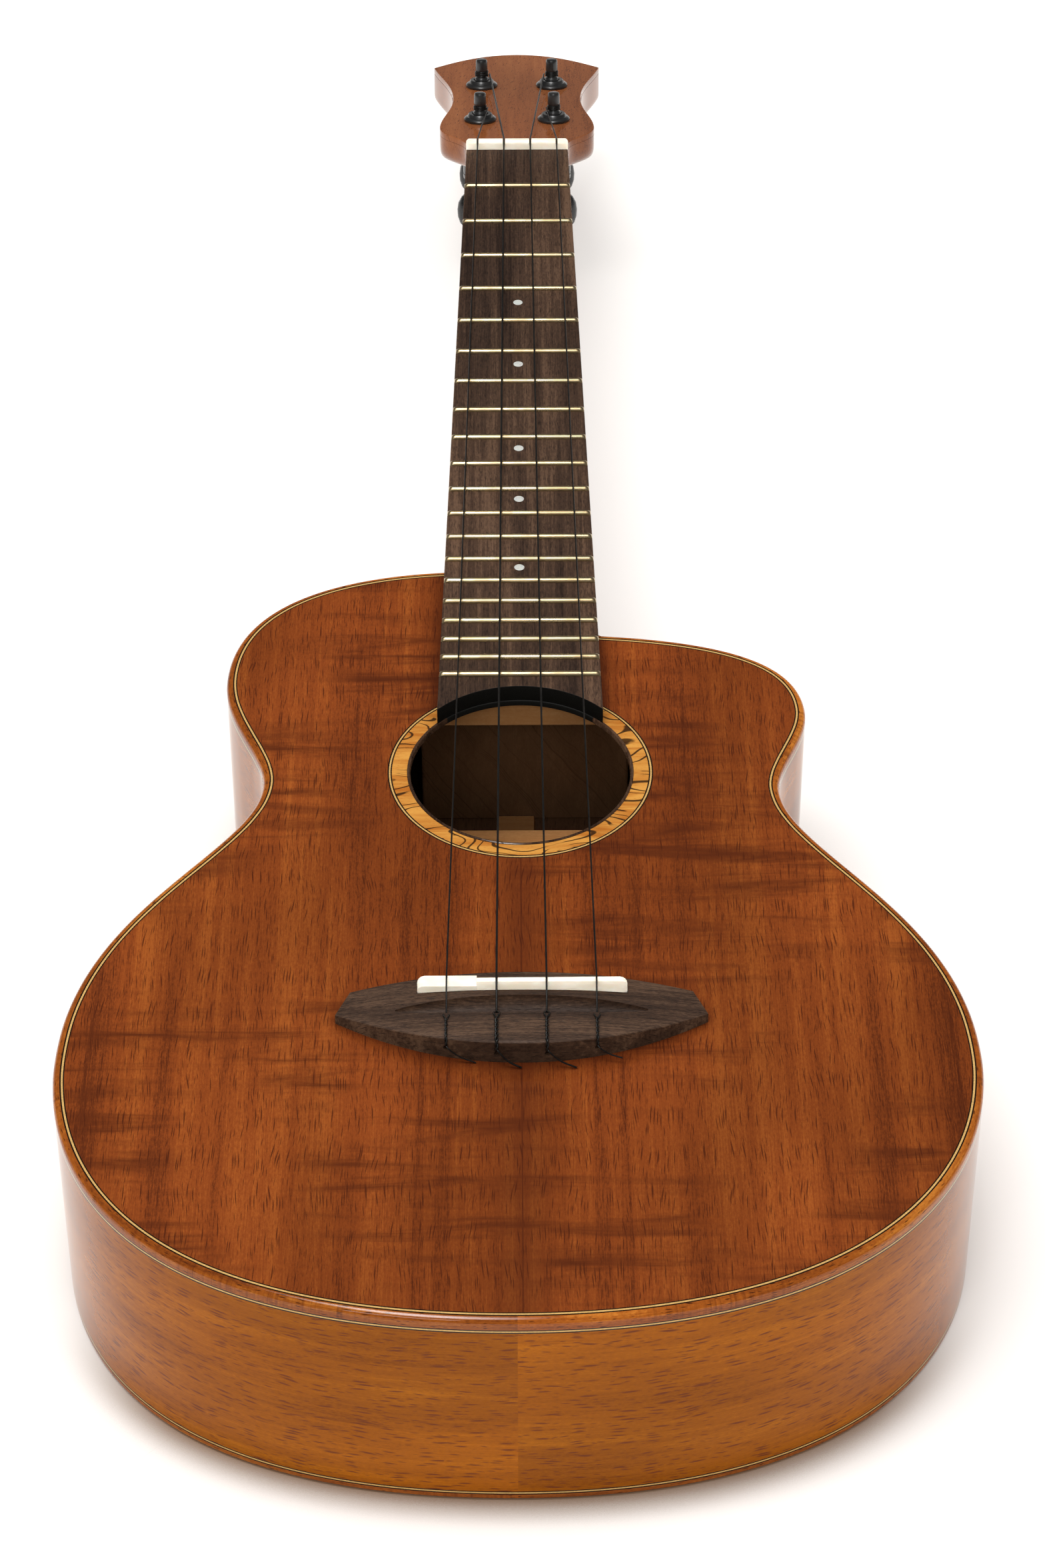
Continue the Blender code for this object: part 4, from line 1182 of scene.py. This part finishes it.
def make_tie(number):
    """The string comes back over the tie block, loops round itself and twists down to its hole."""
    x = string_x(number, PITCH_SADDLE)
    radius = STRING_R[number]
    top = bridge_top(x) + radius * 1.9
    rear = bridge_rear(x)
    path = smooth_path([(x, -12.9, top), (x, -16.0, top), (x, rear + 1.6, top - 0.02),
                        (x, rear + 0.2, top - 0.35), (x, rear - 0.75, top - 1.7),
                        (x, rear - 0.85, 73.4), (x, rear + 0.2, 72.0)], 0.22)
    pitch = 3.7 + 0.25 * math.sin(5.0 * number)
    thin = radius * 0.92
    tie = "tie_%d_" % (number + 1)
    strands = [tube(tie + tag, twist(path, thin, pitch, phase), thin, 10)
               for tag, phase in (("a", 0.6 * number), ("b", math.pi + 0.6 * number))]
    loop = smooth_path([(x - radius * 0.6, -13.2, top), (x - 0.62, -11.9, top - 0.1),
                        (x - 0.74, -10.7, top - 0.6), (x, -9.75, top - 1.05),
                        (x + 0.74, -10.7, top - 0.6), (x + 0.62, -11.9, top - 0.1),
                        (x + radius * 0.6, -13.2, top)], 0.2)
    strands.append(tube(tie + "loop", loop, thin, 10))
    reach = 7.2 + 0.8 * math.sin(3.1 * number + 1.0)
    foot = TOP + radius + (1.6 if number == 3 else 0.1)
    tag_end = smooth_path([(x - 0.2, rear - 0.5, top - 2.2), (x + 0.6, rear - 1.5, top - 2.8),
                           (x + reach * 0.45, rear - 2.0, lerp(top - 2.8, foot, 0.6)),
                           (x + reach, rear - 2.6, foot)], 0.4)
    strands.append(tube(tie + "tag", tag_end, radius * 0.9, 10))
    for strand in strands:
        dress(strand, "string")


def make_strings():
    for number in range(4):
        line = tube("string_run_%d" % (number + 1), string_run(number), STRING_R[number], 14)
        dress(line, "string", stands_for=["string_%d" % (number + 1)])
        make_tie(number)


# ---- tuning pegs ----
def peg_place(name):
    """The peg's own frame: its axis along Z, the headstock's face at Z = 0."""
    return Matrix.Translation(PEGS[name]) @ HEAD_TURN


def button_ring(height, half_width, half_thick, steps=48):
    ring = []
    for k in range(steps):
        angle = math.tau * k / steps
        c, s = math.cos(angle), math.sin(angle)
        ring.append(Vector((half_width * math.copysign(abs(c) ** 0.9, c), half_thick * s, height)))
    return ring


def make_peg(name):
    """The collar and barrel stay; the post turns with its winding, and the grip is the button."""
    place = peg_place(name)
    back = -HEAD_UNDER
    washer = [(2.9, 0.02), (5.5, 0.02), (5.75, 0.25), (5.75, 0.8), (5.5, 1.15), (4.6, 1.5), (4.3, 2.3),
              (4.0, 2.65), (2.9, 2.65)]
    collar = lathe("collar_" + name, washer, 56, place)
    dress(collar, "peg_metal", stands_for=["housing_" + name])
    barrel = [(0.0, back), (6.0, back), (6.25, back - 0.3), (6.25, back - 5.2), (6.05, back - 5.35),
              (6.05, back - 5.75), (6.25, back - 5.9), (6.2, back - 7.3), (5.6, back - 8.1),
              (3.0, back - 8.3), (0.0, back - 8.3)]
    dress(lathe("barrel_" + name, barrel, 56, place), "peg_metal")

    shape = [(0.0, 10.2), (1.5, 10.2), (1.85, 10.05), (2.05, 9.7), (2.1, 9.0), (2.2, 6.4), (2.1, 5.9),
             (1.9, 5.5), (1.88, 4.4), (1.95, 3.9), (2.4, 3.2), (2.55, 2.9), (2.6, 0.4), (0.0, 0.4)]
    post = lathe("post_head_" + name, shape, 40, place)
    dress(post, "peg_metal", "post_" + name, ["post_" + name])
    number = int(name) - 1
    radius = STRING_R[number]
    coil = []
    steps = 140
    out = 1.92 + radius
    for k in range(steps + 1):
        turns = 3.2 * k / steps
        angle = math.tau * turns
        height = 3.95 + 2 * radius * turns
        coil.append(place @ Vector((out * math.cos(angle), out * math.sin(angle), height)))
    dress(tube("winding_" + name, coil, radius, 10), "string", "post_" + name)

    stem = back - 8.5
    stations = [(0.0, 2.4, 2.4), (-0.4, 3.2, 3.2), (-0.9, 3.5, 3.5), (-2.2, 3.3, 3.2), (-3.4, 3.6, 3.1),
                (-4.6, 5.0, 3.4), (-6.2, 6.9, 4.0), (-8.4, 8.1, 4.45), (-11.0, 8.5, 4.65),
                (-13.6, 8.35, 4.55), (-15.9, 7.6, 4.15), (-17.7, 6.2, 3.5), (-18.9, 4.2, 2.5),
                (-19.4, 2.0, 1.3), (-19.5, 0.4, 0.3)]
    rows = []
    for height, wide, thick in stations:
        rows.append([place @ point for point in button_ring(stem + height, wide, thick)])
    grip = skin("grip_" + name, rows, sharp=60.0)
    dress(grip, "peg_button", "button_" + name, ["button_" + name])


# ---- stage ----
def make_floor():
    """A plain pale floor, with a painted warm brown contact shadow beside the body, strongest behind the
    tail.
    """
    bm = bmesh.new()
    bmesh.ops.create_grid(bm, x_segments=1, y_segments=1, size=30000.0)
    bmesh.ops.translate(bm, vec=(0.0, 0.0, -0.05), verts=bm.verts)
    floor = finish_mesh("floor", bm)
    tree = Tree("floor")
    tone = tree.noise(tree.place(), (400.0, 400.0, 400.0), 2.0)
    colour = tree.tones(tone, (0.85, 0.835, 0.82, 1.0), (0.87, 0.855, 0.84, 1.0))
    # Painted contact shadow: the floor darkens to brown where the body stands close, at full strength behind
    # the tail and faint along the sides.
    _, y, _ = tree.split(tree.place())
    depth = tree.span(y, -95.0, -45.0, 1.0, 0.1)
    shade = tree.times(tree.span(tree.nearby(14.0), 0.45, 1.0, 1.0, 0.0), depth)
    colour = tree.mix(shade, colour, (0.23, 0.145, 0.09, 1.0))
    floor.data.materials.append(tree.done(colour, 0.9, Specular_IOR_Level=0.0))


def make_world():
    """Even pale light; mirror-like reflections see a dimmer room."""
    world = bpy.data.worlds.new("room")
    bpy.context.scene.world = world
    world.use_nodes = True
    nodes, links = world.node_tree.nodes, world.node_tree.links
    sky = nodes["Background"]
    sky.inputs["Color"].default_value = (1.0, 0.99, 0.975, 1.0)
    path = nodes.new("ShaderNodeLightPath")
    dim = nodes.new("ShaderNodeMapRange")
    links.new(path.outputs["Is Glossy Ray"], dim.inputs["Value"])
    dim.inputs["To Min"].default_value = 1.35
    dim.inputs["To Max"].default_value = 0.14
    links.new(dim.outputs["Result"], sky.inputs["Strength"])


def area_light(name, place, target, size, power, colour=(1.0, 1.0, 1.0)):
    data = bpy.data.lights.new(name, "AREA")
    data.shape = "RECTANGLE"
    data.size, data.size_y = size
    data.energy = power
    data.color = colour
    light = bpy.data.objects.new(name, data)
    light.location = place
    light.rotation_mode = "QUATERNION"
    light.rotation_quaternion = (Vector(target) - Vector(place)).to_track_quat("-Z", "Y")
    bpy.context.scene.collection.objects.link(light)
    return light


def soften(light):
    """Fade a level softbox from its middle to its edges."""
    light.data.use_nodes = True
    nodes, links = light.data.node_tree.nodes, light.data.node_tree.links
    split = nodes.new("ShaderNodeSeparateXYZ")
    links.new(nodes.new("ShaderNodeNewGeometry").outputs["Position"], split.inputs[0])
    strength = None
    for axis, size in enumerate((light.data.size, light.data.size_y)):
        for side in (-0.5, 0.5):
            fade = nodes.new("ShaderNodeMapRange")
            fade.interpolation_type = "SMOOTHSTEP"
            fade.inputs["From Min"].default_value = light.location[axis] + side * size
            fade.inputs["From Max"].default_value = light.location[axis] + side * size * 0.1
            links.new(split.outputs[axis], fade.inputs["Value"])
            if strength is not None:
                links.new(strength, fade.inputs["To Max"])
            strength = fade.outputs["Result"]
    links.new(strength, nodes["Emission"].inputs["Strength"])


def make_lights():
    """The key and the front light shape the object; the overhead one shows in reflections only."""
    warm = (1.0, 0.985, 0.96)
    key = area_light("key", (-0.42, -0.1, 1.65), (-0.42, -0.1, 0.0), (0.85, 0.35), 10.0, warm)
    key.visible_glossy = False
    area_light("front", (-0.45, -1.5, 1.5), (0.0, 0.0, 0.05), (0.5, 0.35), 4.0)
    overhead = area_light("overhead", (-0.17, 0.0, 1.6), (-0.17, 0.0, 0.0), (0.5, 1.8), 68.0)
    overhead.visible_diffuse = False
    soften(overhead)


def make_camera():
    """The photograph's view: from the tail, 40 degrees above the floor."""
    turn, down, roll = math.radians(0.125), math.radians(40.101), math.radians(-0.144)
    look = Vector((math.sin(turn) * math.cos(down), math.cos(turn) * math.cos(down), -math.sin(down)))
    right = Vector((math.cos(turn), -math.sin(turn), 0.0))
    up = right.cross(look)
    across = right * math.cos(roll) + up * math.sin(roll)
    above = up * math.cos(roll) - right * math.sin(roll)
    data = bpy.data.cameras.new("camera")
    data.lens = 91.7
    data.sensor_width = 36.0
    data.clip_start, data.clip_end = 0.05, 100.0
    camera = bpy.data.objects.new("camera", data)
    camera.matrix_world = Matrix((across, above, -look)).transposed().to_4x4()
    camera.location = (-0.0013148, -0.784859, 0.806740)
    bpy.context.scene.collection.objects.link(camera)
    bpy.context.scene.camera = camera


make_body()
make_rosette()
make_inside()
make_neck()
make_fretboard()
make_nut()
make_bridge()
make_saddle()
make_strings()
for peg in sorted(PEGS):
    make_peg(peg)
make_floor()
make_world()
make_lights()
make_camera()
bpy.context.scene.view_settings.view_transform = "Standard"
